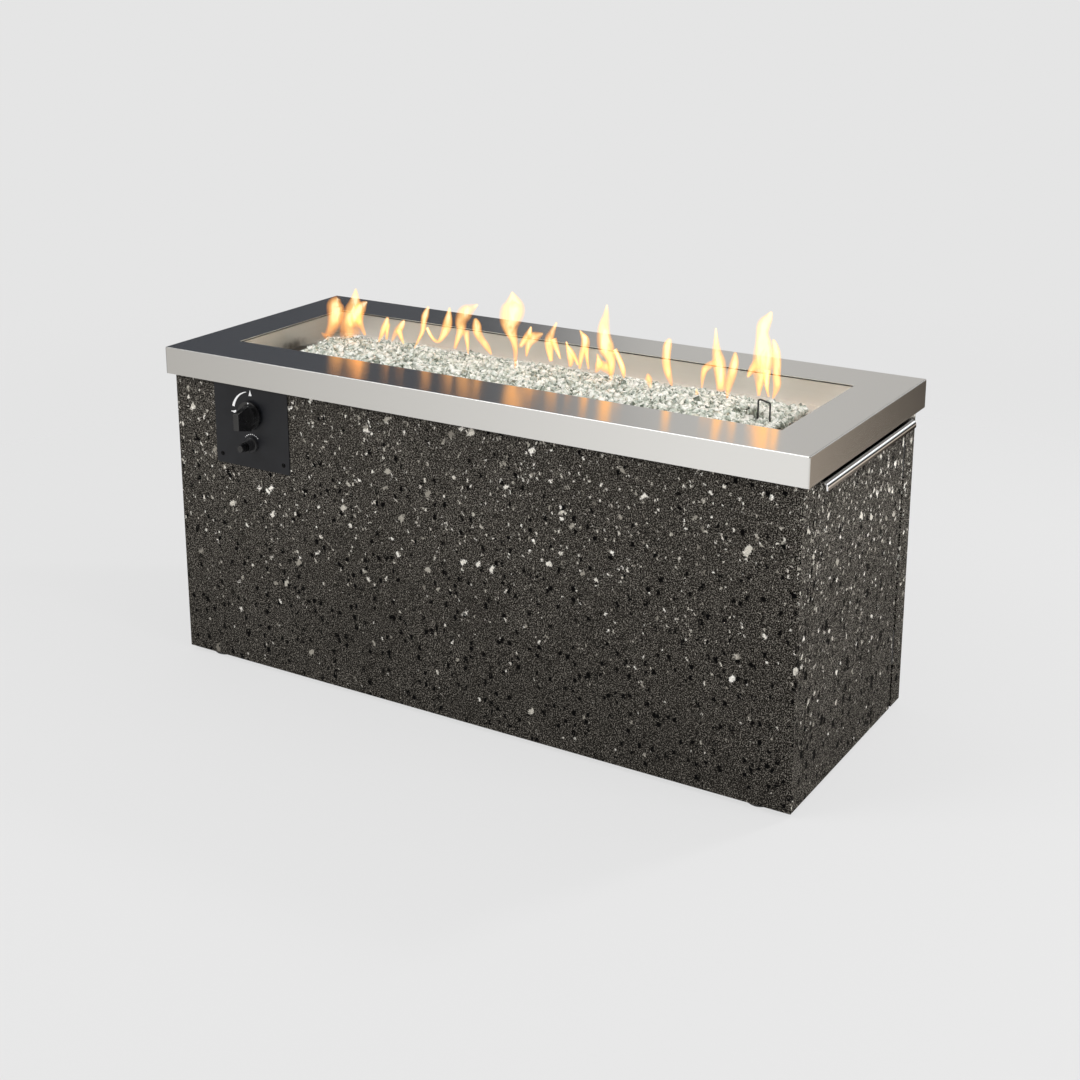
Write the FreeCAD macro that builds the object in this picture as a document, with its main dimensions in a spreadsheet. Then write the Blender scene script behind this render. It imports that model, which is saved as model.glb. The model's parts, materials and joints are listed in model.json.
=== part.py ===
import FreeCAD, Part
import Sketcher
import math
import os
import re

from FreeCAD import Placement, Rotation, Vector

# A gas fire pit table. The origin is on the ground under the centre of the base,
# +X runs to the end with the door, -Y is the side with the controls and +Z is up.

doc = FreeCAD.newDocument("FirePitTable")

# Driving sizes in millimetres: name, value, what it is.
SIZES = [
    ("top_length", 1244, "table top along X"),
    ("top_width", 500, "table top along Y"),
    ("table_height", 589, "ground to the top surface"),
    ("apron_depth", 49, "turned-down sides of the top"),
    ("top_sheet", 1.5, "thickness of the top's sheet"),
    ("top_edge_radius", 2.5, "outer bend of the top's edges"),
    ("rim_end", 88, "steel between the opening and the ends"),
    ("rim_side", 101.5, "steel between the opening and the long sides"),
    ("overhang", 12, "top beyond the stone base"),
    ("base_bottom", 8, "ground to the lower edge of the stone"),
    ("stone_drop", 4, "stone's upper edge under the top surface"),
    ("stone_wall", 16, "thickness of the stone panels"),
    ("return_length", 41, "how far the long panels turn round each corner"),
    ("panel_joint", 1, "joint beside the fixed end panel"),
    ("tube_width", 25, "square tube of the frame"),
    ("tube_wall", 1.5, "wall of the square tube"),
    ("frame_rise", 2, "frame over the stone's lower edge"),
    ("bolt_radius", 3, "shanks of the frame's bolts and studs"),
    ("bolt_play", 0.05, "radial play of bolts in their holes"),
    ("bolt_head_radius", 5, "heads of the frame's bolts"),
    ("bolt_head_height", 4, "thickness of those heads"),
    ("bolt_grip", 10, "how deep the bolts reach into the stone"),
    ("post_bolt_low", 200, "lower bolts in the posts"),
    ("post_bolt_drop", 205, "upper bolts in the posts, under the stone's upper edge"),
    ("rail_bolt_step", 40, "bolts in the long rails, inward of the cradles"),
    ("end_bolt_inset", 77, "bolts in the end rails, in from the corner returns"),
    ("stud_step", 70, "studs of the top, outward of the cradles"),
    ("stud_length", 35, "studs of the top"),
    ("nut_radius", 5.8, "corner radius of the stud nuts"),
    ("nut_height", 5, "height of the stud nuts"),
    ("floor_sheet", 2, "floor plate"),
    ("ring_play", 3, "ring on the floor round the cylinder's foot ring"),
    ("ring_wall", 3, "wall of the ring on the floor"),
    ("ring_height", 12, "height of the ring on the floor"),
    ("vent_length", 60, "low vents in the floor along Y"),
    ("vent_width", 10, "low vents in the floor along X"),
    ("vent_pitch", 40, "spacing of the low vents"),
    ("foot_inset", 63, "levelling feet in from the ends"),
    ("foot_radius", 22, "disc of a levelling foot"),
    ("foot_play", 0.5, "disc of a levelling foot under the stone"),
    ("stem_radius", 5, "threaded stem of a levelling foot"),
    ("stem_play", 0.08, "radial play of that stem"),
    ("stem_rise", 20, "stem of a levelling foot into the frame"),
    ("weld_nut_radius", 9, "nut welded in the rail over each foot"),
    ("weld_nut_height", 8, "height of that nut"),
    ("door_gap", 0.5, "behind the door's stone"),
    ("door_play_front", 2, "joint at the door's free edge"),
    ("door_play_hinge", 9, "joint at the door's hinged edge"),
    ("door_vent", 7.5, "gap between the door and the apron"),
    ("tray_sheet", 2, "steel tray behind the door"),
    ("tray_depth", 12.5, "steel tray along X"),
    ("tray_clear", 3, "steel tray over the floor plate"),
    ("tray_drop", 12.5, "steel tray under the door's upper edge"),
    ("tray_inset", 13, "free edge of the door to the tray"),
    ("door_bolt_inset", 47, "bolts of the tray in from the corner returns"),
    ("door_bolt_rise", 50, "bolts of the tray in from its lower and upper edges"),
    ("pull_reach", 20, "pull beyond the door's face"),
    ("pull_cover", 14, "pull over the door's top edge"),
    ("pull_sheet", 2.5, "thickness of the pull"),
    ("pull_drop", 10.5, "depth of the pull's lip"),
    ("pull_bend", 9, "outer radius of the pull's bend"),
    ("pull_inset", 0.5, "pull in from the door's front edge"),
    ("pull_back_inset", 2.5, "pull in from the door's hinged edge"),
    ("pull_screw_x", 8, "pull's screws in from the door's face"),
    ("pull_screw_pitch", 100, "spacing of the pull's screws"),
    ("pull_screw_radius", 2, "shanks of the pull's screws"),
    ("pull_screw_depth", 20, "pull's screws into the stone"),
    ("hinge_inset", 3, "hinge axis in from the stone's face"),
    ("hinge_rise", 50, "lower hinge over the tray's lower edge"),
    ("hinge_drop", 30, "upper hinge under the tray's upper edge"),
    ("hinge_length", 60, "length of a hinge"),
    ("knuckle_radius", 3.2, "hinge knuckles"),
    ("pin_radius", 1.6, "hinge pins"),
    ("pin_play", 0.05, "radial play of the pins"),
    ("knuckle_play", 0.3, "gap between knuckles"),
    ("leaf_width", 30, "hinge leaves, from the axis"),
    ("leaf_sheet", 2, "hinge leaves"),
    ("leaf_clear", 4, "leaves stop short of the axis beside strange knuckles"),
    ("catch_inset", 47, "magnetic catch in from the corner return"),
    ("catch_width", 20, "magnetic catch along Y"),
    ("catch_play", 0.3, "between the catch and its strike"),
    ("pan_cover", 3, "burner pan beyond the edges of the opening"),
    ("pan_sheet", 1.5, "burner pan's sheet"),
    ("pan_depth", 41.5, "burner pan's floor under its rim"),
    ("pan_drop", 2, "joint between the pan's rim and the top's sheet"),
    ("hem_width", 3, "pan's folded rim"),
    ("hem_depth", 2, "pan's folded rim"),
    ("drain_radius", 4, "drain holes in the pan"),
    ("cradle_inset", 280, "cradle straps in from the ends"),
    ("cradle_width", 30, "cradle straps"),
    ("cradle_sheet", 3, "cradle straps"),
    ("shield_inset", 37, "heat shield in from the pan's ends"),
    ("shield_side", 47, "heat shield in from the frame"),
    ("shield_clear", 3, "heat shield under the inlet elbow"),
    ("shield_sheet", 1, "heat shield"),
    ("shield_lip", 9, "heat shield's turned-down edge"),
    ("shield_stud_inset", 30, "studs in from the heat shield's sides"),
    ("shield_stud_radius", 4, "studs of the heat shield"),
    ("burner_left_inset", 87, "burner tube's left end from the pan's"),
    ("burner_right_inset", 119, "burner tube's right end from the pan's"),
    ("burner_rise", 13, "burner tube's axis over the pan's floor"),
    ("burner_radius", 9.5, "burner tube"),
    ("burner_wall", 1.2, "burner tube"),
    ("port_radius", 1.2, "burner ports"),
    ("port_pitch", 24, "burner ports"),
    ("nipple_radius", 8, "burner's inlet through the pan"),
    ("nipple_bore", 6.5, "burner's inlet"),
    ("nipple_seat", 7, "lower end of the burner's inlet over the gas line's axis"),
    ("fit_play", 0.05, "radial play of a pipe through sheet"),
    ("saddle_inset", 78, "burner saddles in from the tube's right end"),
    ("gas_drop", 24, "axis of the gas line under the pan's floor"),
    ("elbow_half", 11, "half width of the inlet elbow"),
    ("spigot_radius", 6, "mixer's spigot in the elbow"),
    ("spigot_depth", 6, "mixer's spigot in the elbow"),
    ("mixer_radius", 9.5, "air mixer"),
    ("mixer_length", 45, "air mixer"),
    ("passage_radius", 4.5, "gas passage in the mixer and elbow"),
    ("air_slot", 10, "air windows of the mixer"),
    ("jet_length", 10, "orifice nozzle in the mixer"),
    ("jet_radius", 4.4, "orifice nozzle"),
    ("jet_bore", 0.8, "orifice"),
    ("jet_hex", 8, "corner radius of the orifice's hexagon"),
    ("jet_head", 12, "length of the orifice's hexagon"),
    ("supply_radius", 4.75, "rigid gas tube"),
    ("supply_bore", 3.75, "rigid gas tube"),
    ("supply_rise_bend", 14, "rigid gas tube's first bend"),
    ("supply_turn_bend", 60, "rigid gas tube's second bend"),
    ("pipe_nut_radius", 9, "corner radius of the pipe nuts"),
    ("pipe_nut_length", 12, "pipe nuts"),
    ("control_inset", 174.5, "controls in from the left end"),
    ("plate_width", 166, "control plate"),
    ("plate_height", 174, "control plate"),
    ("plate_drop", 22.5, "control plate under the stone's upper edge"),
    ("plate_sheet", 2, "control plate"),
    ("plate_corner", 3, "control plate's corners"),
    ("plate_screw_inset", 13, "control plate's screws in from its sides"),
    ("plate_screw_rise", 16.5, "lower screws over the plate's lower edge"),
    ("plate_screw_drop", 17.5, "upper screws under the plate's upper edge"),
    ("plate_screw_radius", 2, "control plate's screws"),
    ("dome_radius", 4.25, "screw heads"),
    ("dome_height", 2.4, "screw heads"),
    ("window_inset", 21, "hole in the stone, in from the plate's sides"),
    ("window_rise", 11.5, "hole in the stone over the plate's lower edge"),
    ("window_drop", 12.5, "hole in the stone under the plate's upper edge"),
    ("valve_drop", 75, "knob's axis under the plate's upper edge"),
    ("valve_half", 17, "half width of the valve body"),
    ("valve_low", 17.5, "valve body under the axis"),
    ("valve_high", 15.5, "valve body over the axis"),
    ("valve_depth", 50, "valve body behind the plate"),
    ("valve_port_depth", 33, "gas ports of the valve behind the plate"),
    ("valve_port_radius", 3.75, "gas ports of the valve"),
    ("bonnet_radius", 8, "threaded bonnet through the plate"),
    ("bonnet_reach", 3.2, "bonnet beyond the plate"),
    ("bonnet_nut_radius", 11, "corner radius of the bonnet's nut"),
    ("bonnet_nut_height", 3, "bonnet's nut"),
    ("chamber_radius", 7.5, "chamber in the valve body"),
    ("chamber_front", 10, "chamber behind the plate's front"),
    ("chamber_depth", 27, "chamber in the valve body"),
    ("spindle_radius", 4, "valve stem"),
    ("spindle_play", 0.05, "radial play of the valve stem"),
    ("spindle_reach", 22, "valve stem beyond the plate"),
    ("collar_radius", 6.8, "thrust collar on the stem"),
    ("collar_height", 3, "thrust collar on the stem"),
    ("push_travel", 3, "how far the knob pushes in"),
    ("knob_gap", 3.5, "knob's skirt in front of the plate"),
    ("skirt_radius", 25, "knob's skirt"),
    ("skirt_height", 3.5, "knob's skirt"),
    ("hub_radius", 19, "knob's hub"),
    ("hub_height", 9.5, "knob's hub from the skirt's back"),
    ("recess_radius", 12.5, "hollow behind the knob"),
    ("recess_depth", 6.5, "hollow behind the knob"),
    ("grip_width", 12.5, "knob's grip"),
    ("grip_reach", 37.5, "knob's grip from the skirt's back"),
    ("grip_base_top", 19, "grip at the skirt, over the axis"),
    ("grip_base_bottom", 28.5, "grip at the skirt, under the axis"),
    ("grip_tip_top", 10.5, "grip at its tip, over the axis"),
    ("grip_tip_bottom", 19.5, "grip at its tip, under the axis"),
    ("grip_round", 1.5, "grip's rounded edges"),
    ("igniter_drop", 54.9, "igniter's axis under the knob's"),
    ("bezel_radius", 13.5, "igniter's flange"),
    ("bezel_height", 6, "igniter's flange"),
    ("barrel_radius", 10, "igniter's barrel"),
    ("barrel_reach", 18, "igniter's barrel beyond the plate"),
    ("barrel_depth", 56, "igniter's barrel behind the plate's front"),
    ("cap_radius", 6.75, "igniter's button"),
    ("cap_play", 0.1, "radial play of the button"),
    ("cap_reach", 34, "igniter's button beyond the plate"),
    ("cap_round", 2, "igniter's button"),
    ("cap_flange", 7.2, "button's retaining flange"),
    ("cap_flange_height", 1.5, "button's retaining flange"),
    ("bright_ring_radius", 8.5, "bright ring round the button"),
    ("bright_ring_height", 4, "bright ring round the button"),
    ("cell_radius", 7.25, "battery"),
    ("cell_length", 50.5, "battery"),
    ("cell_play", 0.25, "radial play of the battery"),
    ("terminal_radius", 3, "igniter's spark terminal"),
    ("terminal_length", 8, "igniter's spark terminal"),
    ("barrel_nut_radius", 14.5, "corner radius of the igniter's nut"),
    ("barrel_nut_height", 5, "igniter's nut"),
    ("lead_radius", 2, "ignition lead"),
    ("lead_rise", 8, "ignition lead over the heat shield"),
    ("lead_y", 60, "ignition lead along the pan"),
    ("electrode_inset", 96.5, "electrode in from the pan's end"),
    ("electrode_y", 3, "electrode"),
    ("ceramic_radius", 3.5, "electrode's ceramic"),
    ("ceramic_rise", 21, "electrode's ceramic over the pan's floor"),
    ("ceramic_drop", 16, "electrode's ceramic under the pan's floor"),
    ("spark_reach", 9, "electrode's wire beyond the ceramic"),
    ("spark_radius", 1, "electrode's wire"),
    ("spark_tail", 4, "electrode's wire under the ceramic"),
    ("bracket_half_x", 17, "electrode's bracket"),
    ("bracket_half_y", 14, "electrode's bracket"),
    ("bracket_sheet", 1.5, "electrode's bracket"),
    ("guard_half", 10.5, "wire guard's legs from the electrode"),
    ("guard_y", -5, "wire guard"),
    ("guard_radius", 1.5, "wire guard"),
    ("guard_rise", 0.5, "wire guard's bar over the top surface"),
    ("guard_slope", 4.5, "fall of the wire guard's bar"),
    ("glass_left_inset", 55, "fire glass in from the pan's left end"),
    ("glass_right_inset", 65, "fire glass in from the pan's right end"),
    ("glass_taper", 75, "fire glass, sloping ends"),
    ("glass_drop", 11, "fire glass, ridge under the pan's rim"),
    ("glass_front_inset", 26.5, "fire glass in from the pan's front"),
    ("glass_back_inset", 46.5, "fire glass in from the pan's back"),
    ("glass_bed", 10, "fire glass, low parts over the pan's floor"),
    ("glass_lump", 3, "fire glass, lumps on the ridge"),
    ("glass_pitch", 42, "fire glass, spacing of the lumps"),
    ("glass_clear", 16, "fire glass, low from here on before the electrode"),
    ("glass_slope", 34, "fire glass, slope down to the electrode"),
    ("glass_play", 0.3, "fire glass from the pieces in it"),
    ("cylinder_space", 44, "gas cylinder from the door's posts"),
    ("cylinder_radius", 155, "gas cylinder"),
    ("cylinder_wall", 2.5, "gas cylinder"),
    ("foot_ring_height", 15, "cylinder's shell over the floor plate"),
    ("collar_ring_height", 75, "cylinder's guard ring over the shell"),
    ("cylinder_round", 80, "gas cylinder's shoulders"),
    ("foot_ring_radius", 102, "cylinder's foot ring"),
    ("collar_ring_radius", 95, "cylinder's guard ring"),
    ("cylinder_headroom", 27, "cylinder's guard ring under the heat shield"),
    ("boss_radius", 16, "cylinder's boss"),
    ("boss_height", 7, "cylinder's boss"),
    ("outlet_rise", 23, "cylinder valve's outlet over the boss"),
    ("cylinder_valve_radius", 12, "cylinder valve"),
    ("valve_crown", 18, "cylinder valve over its outlet"),
    ("outlet_radius", 10, "cylinder valve's outlet"),
    ("outlet_reach", 38, "cylinder valve's outlet"),
    ("wheel_stem_radius", 3, "handwheel's stem"),
    ("wheel_gap", 7, "handwheel over the cylinder valve"),
    ("wheel_height", 12, "handwheel"),
    ("wheel_radius", 24, "handwheel"),
    ("coupling_radius", 16, "regulator's coupling nut"),
    ("coupling_length", 22, "regulator's coupling nut"),
    ("regulator_radius", 27, "regulator's body"),
    ("regulator_height", 26, "regulator's body"),
    ("regulator_y", 88, "regulator's body"),
    ("regulator_outlet", 120, "regulator's outlet end"),
    ("hose_radius", 6, "gas hose"),
    ("hose_bore", 4, "gas hose"),
    ("hose_bend", 58, "gas hose's bends"),
    ("clip_wall", 2, "hose clips"),
    ("clip_width", 14, "hose clips"),
]

# Places that follow from the sizes.
PLACES = {
    "half_top_x": "top_length / 2",
    "half_top_y": "top_width / 2",
    "apron_bottom": "table_height - apron_depth",
    "sheet_under": "table_height - top_sheet",
    "half_base_x": "base_length / 2",
    "half_base_y": "base_width / 2",
    "stone_inner_x": "half_base_x - stone_wall",
    "stone_inner_y": "half_base_y - stone_wall",
    "return_edge": "half_base_y - return_length",
    "tube_inner_x": "stone_inner_x - tube_width",
    "tube_inner_y": "stone_inner_y - tube_width",
    "rail_x": "stone_inner_x - tube_width / 2",
    "rail_y": "stone_inner_y - tube_width / 2",
    "rail_top": "frame_bottom + tube_width",
    "ring_under": "sheet_under - tube_width",
    "floor_top": "rail_top + floor_sheet",
    "bolt_hole": "bolt_radius + bolt_play",
    "door_inner": "stone_inner_x + door_gap",
    "door_front": "-(return_edge) + door_play_front",
    "door_back": "return_edge - door_play_hinge",
    "tray_inner": "door_inner - tray_depth",
    "tray_face": "door_inner - tray_sheet",
    "tray_front": "door_front + tray_inset",
    "pull_outer": "half_base_x + pull_reach",
    "pull_top": "door_top + pull_sheet",
    "pull_front": "door_front + pull_inset",
    "pull_back": "door_back - pull_back_inset",
    "pan_under": "pan_floor - pan_sheet",
    "pan_rim": "sheet_under - pan_drop",
    "strap_under": "pan_under - cradle_sheet",
    "plate_back": "-(half_base_y)",
    "plate_front": "plate_back - plate_sheet",
    "skirt_back": "plate_front - knob_gap",
    "valve_top": "valve_z + valve_high",
    "valve_back": "plate_back + valve_depth",
    "chamber_start": "plate_front + chamber_front",
    "collar_front": "chamber_start + collar_height",
    "mixer_end": "elbow_half + mixer_length",
    "jet_end": "mixer_end + jet_head",
    "bracket_top": "pan_floor + bracket_sheet",
    "foot_ring_bottom": "floor_top",
    "barrel_back": "plate_front + barrel_depth",
    "opening_length": "top_length - 2 * rim_end",
    "opening_width": "top_width - 2 * rim_side",
    "base_length": "top_length - 2 * overhang",
    "base_width": "top_width - 2 * overhang",
    "base_top": "table_height - stone_drop",
    "frame_bottom": "base_bottom + frame_rise",
    "post_bolt_high": "base_top - post_bolt_drop",
    "rail_bolt_x": "cradle_x - rail_bolt_step",
    "end_bolt_y": "return_edge - end_bolt_inset",
    "stud_x": "cradle_x + stud_step",
    "ring_inner": "foot_ring_radius + ring_play",
    "foot_x": "half_base_x - foot_inset",
    "foot_height": "base_bottom - foot_play",
    "stem_top": "frame_bottom + stem_rise",
    "door_top": "apron_bottom - door_vent",
    "tray_bottom": "floor_top + tray_clear",
    "tray_top": "door_top - tray_drop",
    "door_bolt_y": "return_edge - door_bolt_inset",
    "door_bolt_low": "tray_bottom + door_bolt_rise",
    "door_bolt_high": "tray_top - door_bolt_rise",
    "hinge_x": "half_base_x - hinge_inset",
    "hinge_y": "return_edge - door_play_hinge / 2",
    "hinge_low": "tray_bottom + hinge_rise",
    "hinge_high": "tray_top - hinge_length - hinge_drop",
    "catch_y": "return_edge - catch_inset",
    "pan_length": "opening_length + 2 * pan_cover",
    "pan_width": "opening_width + 2 * pan_cover",
    "pan_floor": "pan_rim - pan_depth",
    "cradle_x": "half_base_x - cradle_inset",
    "cradle_bolt_z": "ring_under + tube_width / 2",
    "shield_length": "pan_length - 2 * shield_inset",
    "shield_width": "2 * tube_inner_y - 2 * shield_side",
    "shield_top": "gas_z - elbow_half - shield_clear",
    "shield_stud_y": "shield_width / 2 - shield_stud_inset",
    "burner_left": "pan_length / 2 - burner_left_inset",
    "burner_right": "pan_length / 2 - burner_right_inset",
    "burner_z": "pan_floor + burner_rise",
    "nipple_bottom": "gas_z + nipple_seat",
    "saddle_x": "burner_right - saddle_inset",
    "gas_z": "pan_floor - gas_drop",
    "elbow_top": "gas_z + elbow_half",
    "control_x": "control_inset - half_base_x",
    "plate_top": "base_top - plate_drop",
    "plate_bottom": "plate_top - plate_height",
    "plate_screw_x": "plate_width / 2 - plate_screw_inset",
    "plate_screw_low": "plate_bottom + plate_screw_rise",
    "plate_screw_high": "plate_top - plate_screw_drop",
    "window_half": "plate_width / 2 - window_inset",
    "window_bottom": "plate_bottom + window_rise",
    "window_top": "plate_top - window_drop",
    "valve_z": "plate_top - valve_drop",
    "valve_port_y": "plate_back + valve_port_depth",
    "igniter_z": "valve_z - igniter_drop",
    "lead_z": "shield_top + lead_rise",
    "electrode_x": "pan_length / 2 - electrode_inset",
    "ceramic_top": "pan_floor + ceramic_rise",
    "ceramic_bottom": "pan_floor - ceramic_drop",
    "spark_tip": "ceramic_top + spark_reach",
    "spark_foot": "ceramic_bottom - spark_tail",
    "guard_left": "electrode_x - guard_half",
    "guard_right": "electrode_x + guard_half",
    "guard_top_left": "table_height + guard_rise",
    "guard_top_right": "guard_top_left - guard_slope",
    "glass_left": "pan_length / 2 - glass_left_inset",
    "glass_right": "pan_length / 2 - glass_right_inset",
    "glass_ridge": "pan_rim - glass_drop",
    "glass_front": "pan_width / 2 - glass_front_inset",
    "glass_back": "pan_width / 2 - glass_back_inset",
    "cylinder_x": "tube_inner_x - cylinder_radius - cylinder_space",
    "cylinder_bottom": "floor_top + foot_ring_height",
    "collar_ring_top": "shield_top - shield_lip - cylinder_headroom",
    "cylinder_top": "collar_ring_top - collar_ring_height",
    "boss_top": "cylinder_top + boss_height",
    "gas_outlet_z": "boss_top + outlet_rise",
    "cylinder_valve_top": "gas_outlet_z + valve_crown",
    "wheel_bottom": "cylinder_valve_top + wheel_gap",
}

# The same three planes in every body: its own plane, and the sign of its normal.
PLANES = {
    "top": ("XY_Plane", 1),
    "front": ("XZ_Plane", -1),
    "side": ("YZ_Plane", 1),
}

TURNS = {
    "x": Rotation(Vector(0, 1, 0), 90),
    "y": Rotation(Vector(1, 0, 0), -90),
    "z": Rotation(),
}

SIDES = (-1, 1)


def make_sheet():
    """The sheet of driving sizes."""
    sheet = doc.addObject("Spreadsheet::Sheet", "Sizes")
    for row, (name, value, note) in enumerate(SIZES, start=1):
        sheet.set(f"A{row}", name)
        sheet.set(f"B{row}", str(value))
        sheet.set(f"C{row}", note)
        sheet.setAlias(f"B{row}", name)
    doc.recompute()
    return sheet


sheet = make_sheet()
SIZE_NAMES = {row[0] for row in SIZES}


def formula(text):
    """Words for sizes and places turned into a formula on the sheet's cells."""

    def swap(match):
        word = match.group(0)
        if word in SIZE_NAMES:
            return f"Sizes.{word}"
        if word in PLACES:
            return f"({formula(PLACES[word])})"
        return word

    return re.sub(r"[a-z_]+", swap, str(text))


def size(text):
    """A formula's value in millimetres."""
    return float(sheet.evalExpression(formula(text)))


def between(side, near, far):
    """The low and high ends of a span that lies on one side of the middle."""
    if side > 0:
        return (near, far)
    return (f"-({far})", f"-({near})")


def bind(item, **formulas):
    """Ties properties of an object to the sheet."""
    for name, text in formulas.items():
        item.setExpression(name, formula(text))


def move(item, x, y, z, turn=None):
    """Ties an object's place to the sheet, after an optional fixed turn."""
    if turn is not None:
        item.Placement = Placement(Vector(), turn)
    item.setExpression("Placement.Base.x", formula(x))
    item.setExpression("Placement.Base.y", formula(y))
    item.setExpression("Placement.Base.z", formula(z))
    return item


def block(x, y, z, label="block"):
    """A box between two formulas on each axis."""
    item = doc.addObject("Part::Box", label)
    bind(item, Length=f"({x[1]}) - ({x[0]})", Width=f"({y[1]}) - ({y[0]})", Height=f"({z[1]}) - ({z[0]})")
    return move(item, x[0], y[0], z[0])


def along(axis, low, cross):
    """The point at one level on an axis, with the other two coordinates in order."""
    if axis == "x":
        return (low, cross[0], cross[1])
    if axis == "y":
        return (cross[0], low, cross[1])
    return (cross[0], cross[1], low)


def rod(axis, cross, low, high, radius, label="rod"):
    """A cylinder along an axis, between two levels."""
    item = doc.addObject("Part::Cylinder", label)
    bind(item, Radius=radius, Height=f"({high}) - ({low})")
    return move(item, *along(axis, low, cross), TURNS[axis])


def hexagon(axis, cross, low, high, radius, label="hexagon"):
    """A six-sided prism along an axis."""
    item = doc.addObject("Part::Prism", label)
    item.Polygon = 6
    bind(item, Circumradius=radius, Height=f"({high}) - ({low})")
    return move(item, *along(axis, low, cross), TURNS[axis])


def fuse(items, label="joined"):
    """One solid from several."""
    if len(items) == 1:
        items[0].Label = label
        return items[0]
    item = doc.addObject("Part::MultiFuse", label)
    item.Shapes = items
    item.Refine = True
    item.Label = label
    return item


def cut(base, tools, label="cut"):
    """A solid with others taken out of it."""
    item = doc.addObject("Part::Cut", label)
    item.Base = base
    item.Tool = tools[0] if len(tools) == 1 else fuse(tools)
    item.Refine = True
    item.Label = label
    return item


def group(items, label):
    """Equal pieces that share a name, each a solid of its own."""
    item = doc.addObject("Part::Compound", label)
    item.Links = items
    item.Label = label
    return item


def bolt(axis, cross, seat, tip, shank, head, height, label="bolt"):
    """A bolt whose head sits at a seat and whose shank runs on to its tip."""
    if size(tip) > size(seat):
        pieces = [rod(axis, cross, f"({seat}) - ({height})", seat, head), rod(axis, cross, seat, tip, shank)]
    else:
        pieces = [rod(axis, cross, seat, f"({seat}) + ({height})", head), rod(axis, cross, tip, seat, shank)]
    return fuse(pieces, label)


# Bodies made from outlines.


def new_body(label):
    """An empty body."""
    body = doc.addObject("PartDesign::Body", label)
    body.Label = label
    return body


def hold(outline, index, end, across, up):
    """Ties one point of an outline to the sheet."""
    for kind, axis, text in (("DistanceX", -2, across), ("DistanceY", -1, up)):
        value = size(text)
        if abs(value) < 1e-9:
            outline.addConstraint(Sketcher.Constraint("PointOnObject", index, end, axis))
            continue
        number = outline.addConstraint(Sketcher.Constraint(kind, -1, 1, index, end, value))
        outline.setExpression(f"Constraints[{number}]", formula(text))


def sketch(body, plane, level, shapes):
    """Closed outlines on one of the body's own planes, moved along its normal."""
    role, sign = PLANES[plane]
    outline = body.newObject("Sketcher::SketchObject", body.Name + "_outline")
    origin = [feature for feature in body.Origin.OriginFeatures if feature.Role == role][0]
    outline.AttachmentSupport = [(origin, "")]
    outline.MapMode = "FlatFace"
    outline.setExpression("AttachmentOffset.Base.z", formula(f"{sign} * ({level})"))
    for shape in shapes:
        if shape[0] == "round":
            centre = Vector(size(shape[1]), size(shape[2]), 0)
            index = outline.addGeometry(Part.Circle(centre, Vector(0, 0, 1), size(shape[3])), False)
            number = outline.addConstraint(Sketcher.Constraint("Radius", index, size(shape[3])))
            outline.setExpression(f"Constraints[{number}]", formula(shape[3]))
            hold(outline, index, 3, shape[1], shape[2])
            continue
        points = [Vector(size(across), size(up), 0) for across, up in shape]
        first = outline.GeometryCount
        for here, there in zip(points, points[1:] + points[:1]):
            outline.addGeometry(Part.LineSegment(here, there), False)
        count = len(points)
        for step in range(count):
            follower = first + (step + 1) % count
            outline.addConstraint(Sketcher.Constraint("Coincident", first + step, 2, follower, 1))
        for step, (across, up) in enumerate(shape):
            hold(outline, first + step, 1, across, up)
    return outline


def rectangle(across, up):
    """The outline of a rectangle between two formulas each way."""
    return [(across[0], up[0]), (across[1], up[0]), (across[1], up[1]), (across[0], up[1])]


def pad(body, plane, span, shapes):
    """Material between two levels along a plane's axis."""
    level = span[1] if plane == "front" else span[0]
    feature = body.newObject("PartDesign::Pad", body.Name + "_pad")
    feature.Profile = sketch(body, plane, level, shapes)
    bind(feature, Length=f"({span[1]}) - ({span[0]})")
    doc.recompute()
    return feature


def pocket(body, plane, span, shapes):
    """A hollow between two levels along a plane's axis."""
    before = body.Shape.Volume
    level = span[0] if plane == "front" else span[1]
    feature = body.newObject("PartDesign::Pocket", body.Name + "_pocket")
    feature.Profile = sketch(body, plane, level, shapes)
    bind(feature, Length=f"({span[1]}) - ({span[0]})")
    doc.recompute()
    if not body.Shape.Volume < before:
        raise ValueError(f"a hollow in {body.Label} cuts nothing")
    return feature


def spin(body, shapes):
    """A turned shape: outlines of radius and height round the body's own Z axis."""
    feature = body.newObject("PartDesign::Revolution", body.Name + "_turned")
    outline = sketch(body, "front", "0", shapes)
    feature.Profile = outline
    feature.ReferenceAxis = (outline, ["V_Axis"])
    feature.Angle = 360
    doc.recompute()
    return feature


def edges(feature, wanted):
    """Names of the edges whose middle and direction a test accepts."""
    names = []
    for number, edge in enumerate(feature.Shape.Edges, start=1):
        middle = edge.valueAt((edge.FirstParameter + edge.LastParameter) / 2)
        ends = [vertex.Point for vertex in edge.Vertexes]
        if wanted(middle, ends):
            names.append(f"Edge{number}")
    return names


def round_edges(body, feature, wanted, radius):
    """Rounds the edges that a test accepts."""
    rounding = body.newObject("PartDesign::Fillet", body.Name + "_rounding")
    rounding.Base = (feature, edges(feature, wanted))
    bind(rounding, Radius=radius)
    doc.recompute()
    return rounding


def close(first, second):
    """Whether two coordinates are the same."""
    return abs(first - second) < 1e-4


def upright(ends):
    """Whether an edge stands along Z."""
    return len(ends) == 2 and close(ends[0].x, ends[1].x) and close(ends[0].y, ends[1].y)


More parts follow.
